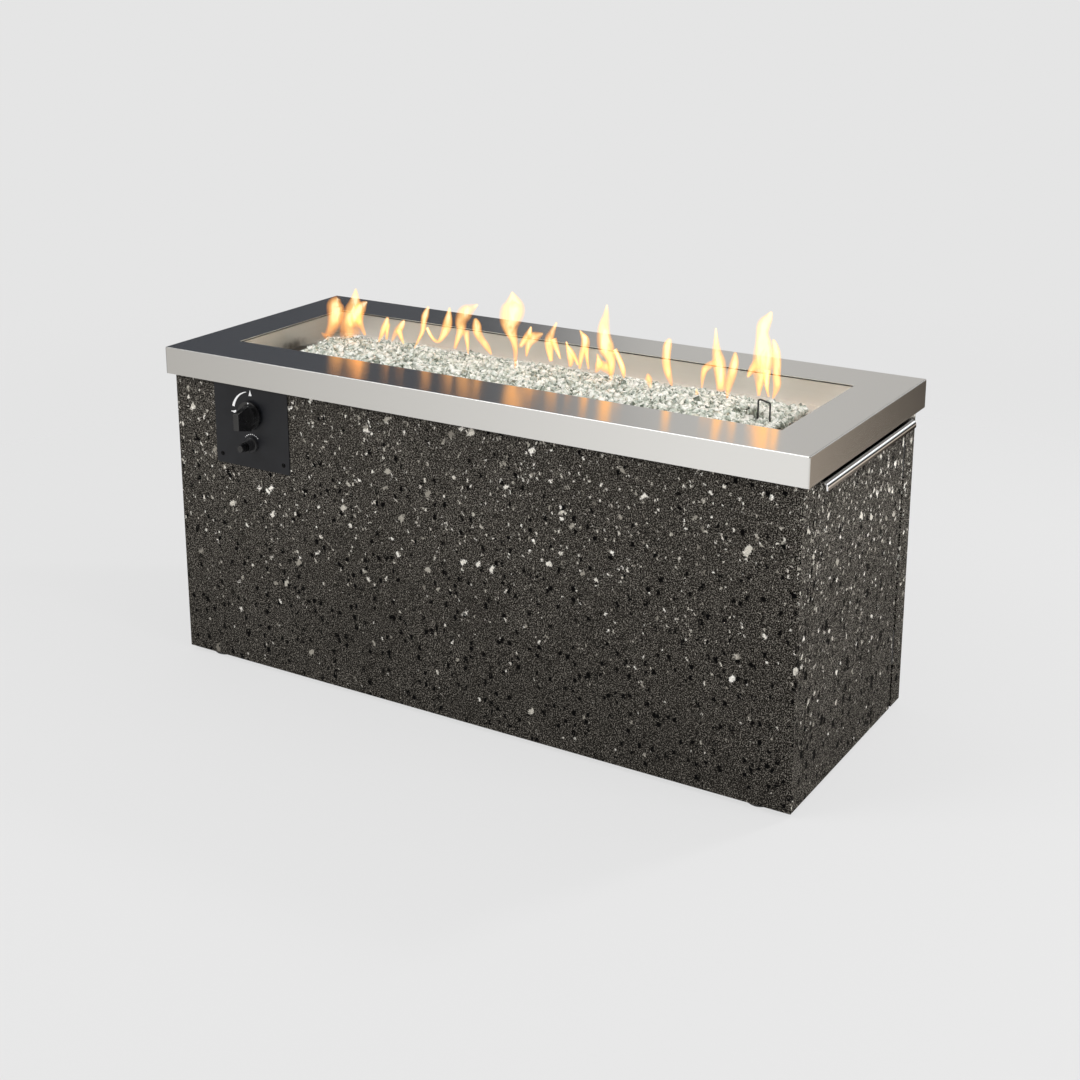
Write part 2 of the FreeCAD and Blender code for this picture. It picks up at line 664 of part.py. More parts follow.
def route(points, bends):
    """Straight runs through the points, joined by tangent arcs at the inner ones."""
    pieces = []
    here = points[0]
    for before, corner, after, radius in zip(points, points[1:], points[2:], bends):
        inward = (before - corner).normalize()
        outward = (after - corner).normalize()
        half = inward.getAngle(outward) / 2
        reach = radius / math.tan(half)
        start = corner + inward * reach
        finish = corner + outward * reach
        centre = corner + (inward + outward).normalize() * (radius / math.sin(half))
        crown = centre + (corner - centre).normalize() * radius
        pieces.append(Part.LineSegment(here, start).toShape())
        pieces.append(Part.Arc(start, crown, finish).toShape())
        here = finish
    pieces.append(Part.LineSegment(here, points[-1]).toShape())
    return Part.Wire(pieces)


def tube(path, radius):
    """A round bar along a path."""
    start = path.Edges[0].valueAt(path.Edges[0].FirstParameter)
    heading = path.Edges[0].tangentAt(path.Edges[0].FirstParameter)
    section = Part.Wire(Part.Circle(start, heading, radius).toShape())
    bar = path.makePipeShell([section], True, False)
    expected = math.pi * radius ** 2 * path.Length
    if abs(bar.Volume - expected) > 0.01 * expected:
        raise ValueError("a bar along a path has the wrong volume")
    return bar


def point(x, y, z):
    """A point from three formulas."""
    return Vector(size(x), size(y), size(z))


def shaped(label, shape):
    """A piece whose shape is made directly."""
    item = doc.addObject("Part::Feature", label)
    item.Shape = shape
    item.Label = label
    item.Placement = Placement()
    return item


# The top: a folded sheet with a rectangular opening.


def make_table_top():
    body = new_body("table_top")
    outer = [rectangle(("-(half_top_x)", "half_top_x"), ("-(half_top_y)", "half_top_y"))]
    solid = pad(body, "top", ("apron_bottom", "table_height"), outer)
    height = size("table_height")
    round_edges(body, solid, lambda middle, ends: close(middle.z, height) or upright(ends), "top_edge_radius")
    inner_x = "half_top_x - top_sheet"
    inner_y = "half_top_y - top_sheet"
    inner = [rectangle((f"-({inner_x})", inner_x), (f"-({inner_y})", inner_y))]
    pocket(body, "top", ("apron_bottom", "sheet_under"), inner)
    opening = [rectangle(("-opening_length / 2", "opening_length / 2"), ("-opening_width / 2", "opening_width / 2"))]
    pocket(body, "top", ("sheet_under", "table_height"), opening)
    return body


def stud_spots():
    """Where studs hold the top to the frame's upper ring."""
    spots = []
    for side in SIDES:
        for x in ("-stud_x", "0", "stud_x"):
            spots.append((x, f"{side} * rail_y"))
        spots.append((f"{side} * rail_x", "0"))
    return spots


def make_top_fixings():
    studs = []
    nuts = []
    for spot in stud_spots():
        studs.append(rod("z", spot, "sheet_under - stud_length", "sheet_under", "bolt_radius"))
        nut = hexagon("z", spot, "ring_under - nut_height", "ring_under", "nut_radius")
        nuts.append(cut(nut, [rod("z", spot, "ring_under - nut_height", "ring_under", "bolt_radius")]))
    return [group(studs, "top_studs"), group(nuts, "top_nuts")]


# The base: a welded frame of square tube with stone panels bolted to it.


def frame_tubes(inset):
    """The frame's twelve tubes, or their bores when inset by the wall."""
    low = f"frame_bottom + {inset}"
    high = f"sheet_under - {inset}"
    tubes = []
    for side_x in SIDES:
        span_x = between(side_x, f"tube_inner_x + {inset}", f"stone_inner_x - {inset}")
        for side_y in SIDES:
            span_y = between(side_y, f"tube_inner_y + {inset}", f"stone_inner_y - {inset}")
            tubes.append(block(span_x, span_y, (low, high)))
    levels = ((low, f"rail_top - {inset}"), (f"ring_under + {inset}", high))
    for side in SIDES:
        for level in levels:
            across = between(side, f"tube_inner_y + {inset}", f"stone_inner_y - {inset}")
            tubes.append(block((f"-(stone_inner_x - {inset})", f"stone_inner_x - {inset}"), across, level))
            across = between(side, f"tube_inner_x + {inset}", f"stone_inner_x - {inset}")
            tubes.append(block(across, (f"-(stone_inner_y - {inset})", f"stone_inner_y - {inset}"), level))
    return tubes


def panel_bolt_spots():
    """Bolts of a long panel: in the posts and in both rails."""
    spots = []
    for side in SIDES:
        for level in ("post_bolt_low", "post_bolt_high"):
            spots.append((f"{side} * rail_x", level))
        for level in ("frame_bottom + tube_width / 2", "sheet_under - tube_width / 2"):
            spots.append((f"{side} * rail_bolt_x", level))
    return spots


def end_bolt_spots():
    """Bolts of the fixed end panel: in both rails."""
    levels = ("frame_bottom + tube_width / 2", "sheet_under - tube_width / 2")
    return [(f"{side} * end_bolt_y", level) for side in SIDES for level in levels]


def foot_spots():
    """The four levelling feet, by name."""
    ends = (("left", -1), ("right", 1))
    rows = (("front", -1), ("back", 1))
    return [(f"foot_{row}_{end}", f"{a} * foot_x", f"{b} * rail_y") for row, b in rows for end, a in ends]


def make_base_frame():
    tubes = fuse(frame_tubes("0"))
    nuts = []
    holes = []
    for label, x, y in foot_spots():
        nuts.append(
            rod("z", (x, y), "frame_bottom + tube_wall / 2", "frame_bottom + tube_wall + weld_nut_height",
                "weld_nut_radius")
        )
        holes.append(
            rod("z", (x, y), "frame_bottom - 1", "frame_bottom + tube_wall + weld_nut_height + 1",
                "stem_radius + stem_play")
        )
    walls = cut(tubes, frame_tubes("tube_wall"))
    for side in SIDES:
        span = between(side, "tube_inner_y - 1", "stone_inner_y + 1")
        for spot in panel_bolt_spots():
            holes.append(rod("y", spot, *span, "bolt_hole"))
        inner_wall = between(side, "tube_inner_y - 1", "rail_y")
        for end in SIDES:
            holes.append(rod("y", (f"{end} * cradle_x", "cradle_bolt_z"), *inner_wall, "bolt_hole"))
    for spot in end_bolt_spots():
        holes.append(rod("x", spot, "-(stone_inner_x + 1)", "-(tube_inner_x - 1)", "bolt_hole"))
    for spot in stud_spots():
        holes.append(rod("z", spot, "ring_under - 1", "sheet_under + 1", "bolt_hole"))
    return cut(fuse([walls] + nuts), holes, "base_frame")


def make_floor_plate():
    body = new_body("floor_plate")
    outer = rectangle(("-(tube_inner_x)", "tube_inner_x"), ("-(stone_inner_y)", "stone_inner_y"))
    pad(body, "top", ("rail_top", "floor_top"), [outer])
    ring_top = "floor_top + ring_height"
    rings = [("round", "cylinder_x", "0", "ring_inner + ring_wall"), ("round", "cylinder_x", "0", "ring_inner")]
    pad(body, "top", ("floor_top", ring_top), rings)
    slots = []
    for step in range(-2, 3):
        middle = f"{step} * vent_pitch - 200"
        across = (f"{middle} - vent_width / 2", f"{middle} + vent_width / 2")
        slots.append(rectangle(across, ("-vent_length / 2", "vent_length / 2")))
    pocket(body, "top", ("rail_top", "floor_top"), slots)
    return body


def long_panel(label, side):
    """A long stone panel that turns round both corners, with blind holes for its bolts."""
    body = new_body(label)
    outline = [
        ("-(half_base_x)", f"{side} * half_base_y"),
        ("half_base_x", f"{side} * half_base_y"),
        ("half_base_x", f"{side} * return_edge"),
        ("stone_inner_x", f"{side} * return_edge"),
        ("stone_inner_x", f"{side} * stone_inner_y"),
        ("-(stone_inner_x)", f"{side} * stone_inner_y"),
        ("-(stone_inner_x)", f"{side} * return_edge"),
        ("-(half_base_x)", f"{side} * return_edge"),
    ]
    pad(body, "top", ("base_bottom", "base_top"), [outline])
    holes = [("round", x, z, "bolt_hole") for x, z in panel_bolt_spots()]
    pocket(body, "front", between(side, "stone_inner_y", "stone_inner_y + bolt_grip"), holes)
    return body


def plate_screw_spots():
    """The control plate's four screws."""
    levels = ("plate_screw_low", "plate_screw_high")
    return [(f"control_x + {side} * plate_screw_x", level) for side in SIDES for level in levels]


def make_stone_panels():
    front = long_panel("front_panel", -1)
    across = ("control_x - window_half", "control_x + window_half")
    through = between(-1, "stone_inner_y", "half_base_y")
    pocket(front, "front", through, [rectangle(across, ("window_bottom", "window_top"))])
    holes = [("round", x, z, "plate_screw_radius + bolt_play") for x, z in plate_screw_spots()]
    pocket(front, "front", through, holes)
    back = long_panel("back_panel", 1)
    left = new_body("left_panel")
    edge = "return_edge - panel_joint"
    pad(left, "top", ("base_bottom", "base_top"),
        [rectangle(("-(half_base_x)", "-(stone_inner_x)"), (f"-({edge})", edge))])
    holes = [("round", y, z, "bolt_hole") for y, z in end_bolt_spots()]
    pocket(left, "side", ("-(stone_inner_x + bolt_grip)", "-(stone_inner_x)"), holes)
    return [front, back, left]


def make_panel_bolts():
    bolts = []
    for side in SIDES:
        seat = f"{side} * tube_inner_y"
        tip = f"{side} * (stone_inner_y + bolt_grip)"
        for spot in panel_bolt_spots():
            bolts.append(bolt("y", spot, seat, tip, "bolt_radius", "bolt_head_radius", "bolt_head_height"))
    for spot in end_bolt_spots():
        seat = "-(tube_inner_x)"
        tip = "-(stone_inner_x + bolt_grip)"
        bolts.append(bolt("x", spot, seat, tip, "bolt_radius", "bolt_head_radius", "bolt_head_height"))
    return group(bolts, "panel_bolts")


def make_feet():
    feet = []
    for label, x, y in foot_spots():
        body = new_body(label)
        outline = [
            ("0", "0"),
            ("foot_radius - 2", "0"),
            ("foot_radius", "2"),
            ("foot_radius", "foot_height - 3"),
            ("foot_radius - 5", "foot_height"),
            ("stem_radius", "foot_height"),
            ("stem_radius", "stem_top"),
            ("0", "stem_top"),
        ]
        spin(body, [outline])
        feet.append(move(body, x, y, "0"))
    return feet


# The door in the right-hand end, with its steel tray, hinges and edge pull.


def make_door_panel():
    body = new_body("door_panel")
    pad(body, "top", ("base_bottom", "door_top"),
        [rectangle(("door_inner", "half_base_x"), ("door_front", "door_back"))])
    holes = [("round", y, z, "bolt_hole") for y, z in door_bolt_spots()]
    pocket(body, "side", ("door_inner", "door_inner + bolt_grip"), holes)
    holes = [("round", x, y, "pull_screw_radius + bolt_play") for x, y in pull_screw_spots()]
    pocket(body, "top", ("door_top - pull_screw_depth", "door_top"), holes)
    return body


def door_bolt_spots():
    """Bolts between the tray and the stone."""
    levels = ("door_bolt_low", "door_bolt_high")
    return [(f"{side} * door_bolt_y", level) for side in SIDES for level in levels]


def pull_screw_spots():
    """Screws through the pull into the door's top edge."""
    return [("half_base_x - pull_screw_x", f"{step} * pull_screw_pitch") for step in (-1.5, -0.5, 0.5, 1.5)]


def make_door_backing():
    body = new_body("door_backing")
    outer = [rectangle(("tray_front", "door_back"), ("tray_bottom", "tray_top"))]
    pad(body, "side", ("tray_inner", "door_inner"), outer)
    across = ("tray_front + tray_sheet", "door_back - tray_sheet")
    up = ("tray_bottom + tray_sheet", "tray_top - tray_sheet")
    pocket(body, "side", ("tray_inner", "tray_face"), [rectangle(across, up)])
    holes = [("round", y, z, "bolt_hole") for y, z in door_bolt_spots()]
    pocket(body, "side", ("tray_face", "door_inner"), holes)
    return body


def make_door_pull():
    body = new_body("door_pull")
    outline = [
        ("half_base_x - pull_cover", "door_top"),
        ("pull_outer - pull_sheet", "door_top"),
        ("pull_outer - pull_sheet", "door_top - pull_drop"),
        ("pull_outer", "door_top - pull_drop"),
        ("pull_outer", "pull_top"),
        ("half_base_x - pull_cover", "pull_top"),
    ]
    strip = pad(body, "front", ("pull_front", "pull_back"), [outline])
    outer = size("pull_outer")
    top = size("pull_top")
    inner = size("pull_outer - pull_sheet")
    under = size("door_top")
    bent = round_edges(
        body, strip, lambda middle, ends: close(middle.x, outer) and close(middle.z, top), "pull_bend"
    )
    round_edges(
        body, bent, lambda middle, ends: close(middle.x, inner) and close(middle.z, under),
        "pull_bend - pull_sheet"
    )
    holes = [("round", x, y, "pull_screw_radius + bolt_play") for x, y in pull_screw_spots()]
    pocket(body, "top", ("door_top", "pull_top"), holes)
    return body


def make_door_fixings():
    bolts = []
    for spot in door_bolt_spots():
        bolts.append(bolt("x", spot, "tray_face", "door_inner + bolt_grip", "bolt_radius",
                          "bolt_head_radius", "bolt_head_height"))
    screws = []
    for spot in pull_screw_spots():
        screws.append(bolt("z", spot, "pull_top", "door_top - pull_screw_depth", "pull_screw_radius",
                           "2 * pull_screw_radius", "1.2"))
    return [group(bolts, "door_bolts"), group(screws, "pull_screws")]


def make_hinges():
    """Two butt hinges: outer knuckles on the post's leaf, the middle one on the door's."""
    axis = ("hinge_x", "hinge_y")
    fixed = []
    moving = []
    pins = []
    for low in ("hinge_low", "hinge_high"):
        high = f"{low} + hinge_length"
        third = "hinge_length / 3"
        middle = (f"{low} + {third}", f"{low} + 2 * {third}")
        outer = ((low, f"{middle[0]} - knuckle_play"), (f"{middle[1]} + knuckle_play", high))
        inward = ("hinge_x - leaf_width", "hinge_x - leaf_clear")
        tongue = ("hinge_x - leaf_clear", "hinge_x")
        post_leaf = ("return_edge - leaf_sheet", "return_edge")
        door_leaf = ("door_back", "door_back + leaf_sheet")
        pieces = [block(inward, post_leaf, (low, high))]
        for span in outer:
            pieces.append(block(tongue, post_leaf, span))
            pieces.append(rod("z", axis, *span, "knuckle_radius"))
        fixed.append(cut(fuse(pieces), [rod("z", axis, low, high, "pin_radius")]))
        pieces = [
            block(inward, door_leaf, (low, high)),
            block(tongue, door_leaf, middle),
            rod("z", axis, *middle, "knuckle_radius"),
        ]
        moving.append(cut(fuse(pieces), [rod("z", axis, *middle, "pin_radius + pin_play")]))
        pins.append(fuse([
            rod("z", axis, low, high, "pin_radius"),
            rod("z", axis, high, f"{high} + 1.5", "knuckle_radius"),
        ]))
    return [
        group(fixed, "hinge_fixed_leaves"),
        group(moving, "hinge_moving_leaves"),
        group(pins, "hinge_pins"),
    ]


def make_catch():
    across = ("-(catch_y + catch_width / 2)", "-(catch_y - catch_width / 2)")
    strike = block(("tray_inner - 2", "tray_face"), across, ("tray_bottom + tray_sheet", "tray_bottom + 20"),
                   "catch_strike")
    magnet = block(("tube_inner_x", "tray_inner - 2 - catch_play"), across, ("rail_top", "rail_top + 20"),
                   "magnet_catch")
    return [magnet, strike]


# The fire bowl: pan, cradles, heat shield, burner and fire glass.


def make_burner_pan():
    body = new_body("burner_pan")
    outer = [rectangle(("-pan_length / 2", "pan_length / 2"), ("-pan_width / 2", "pan_width / 2"))]
    pad(body, "top", ("pan_under", "pan_rim"), outer)
    for inset, low, high in (
        ("pan_sheet", "pan_floor", "pan_rim - hem_depth"),
        ("hem_width", "pan_rim - hem_depth", "pan_rim"),
    ):
        half_x = f"(pan_length / 2 - {inset})"
        half_y = f"(pan_width / 2 - {inset})"
        pocket(body, "top", (low, high), [rectangle((f"-{half_x}", half_x), (f"-{half_y}", half_y))])
    holes = [
        ("round", "0", "0", "nipple_radius + fit_play"),
        ("round", "electrode_x", "electrode_y", "ceramic_radius + fit_play"),
    ]
    for x in ("-burner_left", "-burner_left / 2", "burner_left / 2", "burner_left + 30"):
        for side in SIDES:
            holes.append(("round", x, f"{side} * pan_width / 3", "drain_radius"))
    pocket(body, "top", ("pan_under", "pan_floor"), holes)
    return body


def make_cradles():
    cradles = []
    bolts = []
    studs = []
    for end in SIDES:
        middle = f"{end} * cradle_x"
        across = (f"{middle} - cradle_width / 2", f"{middle} + cradle_width / 2")
        strap = [block(across, ("-(tube_inner_y)", "tube_inner_y"), ("strap_under", "pan_under"))]
        holes = []
        for side in SIDES:
            leg = between(side, "tube_inner_y - cradle_sheet", "tube_inner_y")
            strap.append(block(across, leg, ("strap_under", "sheet_under - 0.5")))
            spot = (middle, "cradle_bolt_z")
            holes.append(rod("y", spot, *between(side, "tube_inner_y - 10", "tube_inner_y + 1"), "bolt_hole"))
            seat = f"{side} * (tube_inner_y - cradle_sheet)"
            bolts.append(bolt("y", spot, seat, f"{side} * (rail_y - 4)", "bolt_radius",
                              "bolt_head_radius", "bolt_head_height"))
            studs.append(rod("z", (middle, f"{side} * shield_stud_y"), "shield_top", "strap_under",
                             "shield_stud_radius"))
        cradles.append(cut(fuse(strap), holes))
    return [group(cradles, "pan_cradles"), group(bolts, "cradle_bolts"), group(studs, "shield_studs")]


def make_heat_shield():
    body = new_body("heat_shield")
    outer = [rectangle(("-shield_length / 2", "shield_length / 2"), ("-shield_width / 2", "shield_width / 2"))]
    pad(body, "top", ("shield_top - shield_lip", "shield_top"), outer)
    half_x = "(shield_length / 2 - shield_sheet)"
    half_y = "(shield_width / 2 - shield_sheet)"
    pocket(body, "top", ("shield_top - shield_lip", "shield_top - shield_sheet"),
           [rectangle((f"-{half_x}", half_x), (f"-{half_y}", half_y))])
    return body


def make_burner():
    axis = ("0", "burner_z")
    outer = [
        rod("x", axis, "-burner_left", "burner_right", "burner_radius"),
        rod("z", ("0", "0"), "nipple_bottom", "burner_z", "nipple_radius"),
    ]
    inner = [
        rod("x", axis, "-burner_left + burner_wall", "burner_right - burner_wall", "burner_radius - burner_wall"),
        rod("z", ("0", "0"), "nipple_bottom - 1", "burner_z", "nipple_bore"),
    ]
    count = int(size("(burner_left + burner_right) / port_pitch")) - 1
    for step in range(count):
        spot = (f"-burner_left + {step + 1} * port_pitch", "0")
        inner.append(rod("z", spot, "burner_z", "burner_z + burner_radius + 1", "port_radius"))
    burner = cut(fuse(outer), inner, "burner_tube")
    saddles = []
    for side in SIDES:
        middle = f"{side} * saddle_x"
        seat = block((f"{middle} - 8", f"{middle} + 8"), ("-14", "14"), ("pan_floor", "burner_z - 3"))
        saddles.append(cut(seat, [rod("x", axis, f"{middle} - 9", f"{middle} + 9", "burner_radius")]))
    return [burner, group(saddles, "burner_saddles")]


def make_electrode():
    spot = ("electrode_x", "electrode_y")
    ceramic = fuse([
        rod("z", spot, "ceramic_bottom", "ceramic_top", "ceramic_radius"),
        rod("z", spot, "bracket_top", "bracket_top + 3", "ceramic_radius + 2.5"),
        rod("z", spot, "spark_foot", "spark_tip", "spark_radius"),
    ], "igniter_electrode")
    plate = block(("electrode_x - bracket_half_x", "electrode_x + bracket_half_x"),
                  ("-bracket_half_y", "bracket_half_y"), ("pan_floor", "bracket_top"))
    hole = rod("z", spot, "pan_floor - 1", "bracket_top + 1", "ceramic_radius + fit_play")
    bracket = cut(plate, [hole], "electrode_bracket")
    path = route(
        [
            point("guard_left", "guard_y", "bracket_top"),
            point("guard_left", "guard_y", "guard_top_left - guard_radius"),
            point("guard_right", "guard_y", "guard_top_right - guard_radius"),
            point("guard_right", "guard_y", "bracket_top"),
        ],
        [4, 4],
    )
    guard = shaped("electrode_guard", tube(path, size("guard_radius")))
    return [ceramic, bracket, guard]


def glass_spots():
    """Places along the heap, each with its share of the full ridge and of the bed's depth."""
    left = -size("glass_left")
    right = size("glass_right")
    taper = size("glass_taper")
    start = left + taper
    low = size("electrode_x - glass_clear")
    full = low - size("glass_slope")
    count = max(1, round((full - start) / size("glass_pitch")))
    ridge = [(start + (full - start) * step / count, 1, 1) for step in range(count + 1)]
    return [(left, 0, 0.5), (left + 0.4 * taper, 0.6, 1)] + ridge + [(low, 0, 1), (right - 15, 0, 1), (right, 0, 0.5)]


def glass_section(number, x, share, depth):
    """The heap's lumpy outline across the pan at one place along it."""
    floor = size("pan_floor")
    front = -size("glass_front")
    back = size("glass_back")
    bed = size("glass_bed")
    crown = size("glass_ridge") - floor
    lump = size("glass_lump")
    ridge = ((-60, 0.83), (-22, 0.98), (12, 1), (50, 0.76))
    rises = [(front, 0), (front, bed)]
    for step, (y, part) in enumerate(ridge):
        full = part * crown + lump * math.sin(1.7 * number + 2.3 * step)
        rises.append((y, bed + (full - bed) * share))
    rises += [(back, bed * 0.6), (back, 0)]
    points = [Vector(x, y, floor + rise * depth) for y, rise in rises]
    return Part.makePolygon(points + points[:1])


def make_fire_glass():
    sections = [glass_section(number, *spot) for number, spot in enumerate(glass_spots())]
    heap = shaped("glass_heap", Part.makeLoft(sections, True, True))
    near = "glass_play"
    tools = [
        rod("x", ("0", "burner_z"), f"-burner_left - {near}", f"burner_right + {near}", f"burner_radius + {near}"),
        rod("z", ("0", "0"), "pan_floor", "burner_z", f"nipple_radius + {near}"),
        rod("z", ("electrode_x", "electrode_y"), "pan_floor", "spark_tip", f"ceramic_radius + {near}"),
        rod("z", ("electrode_x", "electrode_y"), "pan_floor", "bracket_top + 3 + glass_play",
            f"ceramic_radius + 2.5 + {near}"),
        block((f"electrode_x - bracket_half_x - {near}", f"electrode_x + bracket_half_x + {near}"),
              (f"-bracket_half_y - {near}", f"bracket_half_y + {near}"), ("pan_floor", f"bracket_top + {near}")),
    ]
    for leg in ("guard_left", "guard_right"):
        tools.append(rod("z", (leg, "guard_y"), "pan_floor", "table_height", f"guard_radius + {near}"))
    for side in SIDES:
        middle = f"{side} * saddle_x"
        tools.append(block((f"{middle} - 8 - {near}", f"{middle} + 8 + {near}"),
                           (f"-14 - {near}", f"14 + {near}"), ("pan_floor", f"burner_z - 3 + {near}")))
    return cut(heap, tools, "fire_glass")


# The gas line, from the cylinder to the burner.


def make_inlet():
    """Elbow, air mixer and orifice on one axis under the pan."""
    axis = ("0", "gas_z")
    half = ("-elbow_half", "elbow_half")
    elbow = cut(
        block(half, half, ("gas_z - elbow_half", "elbow_top")),
        [
            rod("z", ("0", "0"), "nipple_bottom", "elbow_top + 1", "nipple_radius"),
            rod("z", ("0", "0"), "gas_z", "nipple_bottom + 1", "passage_radius"),
            rod("x", axis, "-elbow_half - 1", "-elbow_half + spigot_depth", "spigot_radius"),
            rod("x", axis, "-elbow_half", "0", "passage_radius"),
        ],
        "inlet_elbow",
    )
    window = "-(mixer_end) + jet_length + air_slot / 2 + 3"
    mixer = cut(
        fuse([
            rod("x", axis, "-(mixer_end)", "-elbow_half", "mixer_radius"),
            rod("x", axis, "-elbow_half", "-elbow_half + spigot_depth", "spigot_radius"),
        ]),
        [
            rod("x", axis, "-(mixer_end) - 1", "0", "passage_radius"),
            rod("z", (window, "0"), "gas_z - 15", "gas_z + 15", "air_slot / 3"),
            rod("y", (window, "gas_z"), "-15", "15", "air_slot / 3"),
        ],
        "air_mixer",
    )
    jet = cut(
        fuse([
            hexagon("x", axis, "-(jet_end)", "-(mixer_end)", "jet_hex"),
            rod("x", axis, "-(mixer_end)", "-(mixer_end) + jet_length", "jet_radius"),
        ]),
        [
            rod("x", axis, "-(jet_end) - 1", "-(mixer_end)", "valve_port_radius - 1"),
            rod("x", axis, "-(mixer_end) - 1", "-(mixer_end) + jet_length + 1", "jet_bore"),
        ],
        "orifice_fitting",
    )
    return [elbow, mixer, jet]


def make_supply_tube():
    path = route(
        [
            point("control_x", "valve_port_y", "valve_top"),
            point("control_x", "valve_port_y", "gas_z"),
            point("control_x", "0", "gas_z"),
            point("-(jet_end)", "0", "gas_z"),
        ],
        [size("supply_rise_bend"), size("supply_turn_bend")],
    )
    outer = tube(path, size("supply_radius"))
    return shaped("gas_supply_tube", outer.cut(tube(path, size("supply_bore"))))


def make_pipe_nuts():
    """The nuts at both ends of the rigid tube and of the hose."""
    spots = [
        ("x", ("0", "gas_z"), "-(jet_end) - pipe_nut_length", "-(jet_end)", "supply_radius"),
        ("x", ("valve_port_y", "valve_z"), "control_x + valve_half", "control_x + valve_half + pipe_nut_length",
         "hose_radius"),
        ("y", ("cylinder_x", "gas_outlet_z"), "-regulator_outlet - pipe_nut_length", "-regulator_outlet",
         "hose_radius"),
    ]
    nuts = []
    for axis, cross, low, high, bore in spots:
        nuts.append(cut(hexagon(axis, cross, low, high, "pipe_nut_radius"), [rod(axis, cross, low, high, bore)]))
    return group(nuts, "pipe_nuts")


def make_valve():
    axis = ("control_x", "valve_z")
    across = ("control_x - valve_half", "control_x + valve_half")
    body = fuse([
        block(across, ("plate_back", "valve_back"), ("valve_z - valve_low", "valve_top")),
        rod("y", axis, "plate_front - bonnet_reach", "plate_back", "bonnet_radius"),
    ])
    chamber_end = "chamber_start + chamber_depth"
    valve = cut(
        body,
        [
            rod("y", axis, "plate_front - bonnet_reach - 1", "chamber_start + 1", "spindle_radius + spindle_play"),
            rod("y", axis, "chamber_start", chamber_end, "chamber_radius"),
            rod("x", ("valve_port_y", "valve_z"), "control_x", "control_x + valve_half + 1", "valve_port_radius"),
            rod("z", ("control_x", "valve_port_y"), "valve_z", "valve_top + 1", "valve_port_radius"),
        ],
        "valve_body",
    )
    stem = fuse([
        rod("y", axis, "plate_front - spindle_reach", "collar_front + 3", "spindle_radius"),
        rod("y", axis, "collar_front", "collar_front + 3", "spindle_radius + 2.5"),
    ], "valve_stem")
    collar = cut(
        rod("y", axis, "chamber_start", "collar_front", "collar_radius"),
        [rod("y", axis, "chamber_start - 1", "collar_front + 1", "spindle_radius + spindle_play")],
        "stem_collar",
    )
    return [valve, stem, collar]


def make_knob():
    body = new_body("knob")
    outline = [
        ("recess_radius", "0"),
        ("skirt_radius", "0"),
        ("skirt_radius", "skirt_height"),
        ("hub_radius", "skirt_height"),
        ("hub_radius", "hub_height"),
        ("0", "hub_height"),
        ("0", "recess_depth"),
        ("recess_radius", "recess_depth"),
    ]
    spin(body, [outline])
    grip = [
        ("-grip_base_bottom", "skirt_height"),
        ("-grip_tip_bottom", "grip_reach"),
        ("grip_tip_top", "grip_reach"),
        ("grip_base_top", "skirt_height"),
        ("recess_radius", "skirt_height"),
        ("recess_radius", "recess_depth"),
        ("-recess_radius", "recess_depth"),
        ("-recess_radius", "skirt_height"),
    ]
    blade = pad(body, "side", ("-grip_width / 2", "grip_width / 2"), [grip])
    reach = size("grip_reach")
    half = size("grip_width / 2")
    blade = round_edges(
        body, blade,
        lambda middle, ends: close(middle.z, reach)
        or (close(abs(middle.x), half) and abs(middle.y) > 8 and size("hub_height") < middle.z < reach),
        "grip_round",
    )
    length = "spindle_reach - knob_gap"
    pocket(body, "top", ("recess_depth - 1", length), [("round", "0", "0", "spindle_radius")])
    return move(body, "control_x", "skirt_back", "valve_z", Rotation(Vector(1, 0, 0), 90))


def make_control_plate():
    body = new_body("control_plate")
    across = ("control_x - plate_width / 2", "control_x + plate_width / 2")
    sheet_metal = pad(body, "front", ("plate_front", "plate_back"), [rectangle(across, ("plate_bottom", "plate_top"))])
    round_edges(body, sheet_metal, lambda middle, ends: close(ends[0].x, ends[-1].x) and close(ends[0].z, ends[-1].z),
                "plate_corner")
    holes = [
        ("round", "control_x", "valve_z", "bonnet_radius + fit_play"),
        ("round", "control_x", "igniter_z", "barrel_radius + fit_play"),
    ]
    for x, z in plate_screw_spots():
        holes.append(("round", x, z, "plate_screw_radius + bolt_play"))
    pocket(body, "front", ("plate_front", "plate_back"), holes)
    screws = []
    ball = "(dome_radius ^ 2 + dome_height ^ 2) / (2 * dome_height)"
    for x, z in plate_screw_spots():
        dome = doc.addObject("Part::Sphere", "dome")
        bind(dome, Radius=ball, Angle1=f"asin(({ball} - dome_height) / ({ball}))")
        move(dome, x, f"plate_front + ({ball}) - dome_height", z, Rotation(Vector(1, 0, 0), 90))
        shank = rod("y", (x, z), "plate_front", "-(stone_inner_y)", "plate_screw_radius")
        screws.append(fuse([dome, shank]))
    nuts = [
        cut(hexagon("y", ("control_x", "valve_z"), "plate_front - bonnet_nut_height", "plate_front",
                    "bonnet_nut_radius"),
            [rod("y", ("control_x", "valve_z"), "plate_front - 5", "plate_front", "bonnet_radius")]),
        cut(hexagon("y", ("control_x", "igniter_z"), "plate_back", "plate_back + barrel_nut_height",
                    "barrel_nut_radius"),
            [rod("y", ("control_x", "igniter_z"), "plate_back", "plate_back + 9", "barrel_radius")]),
    ]
    return [body, group(screws, "control_screws"), group(nuts, "panel_nuts")]


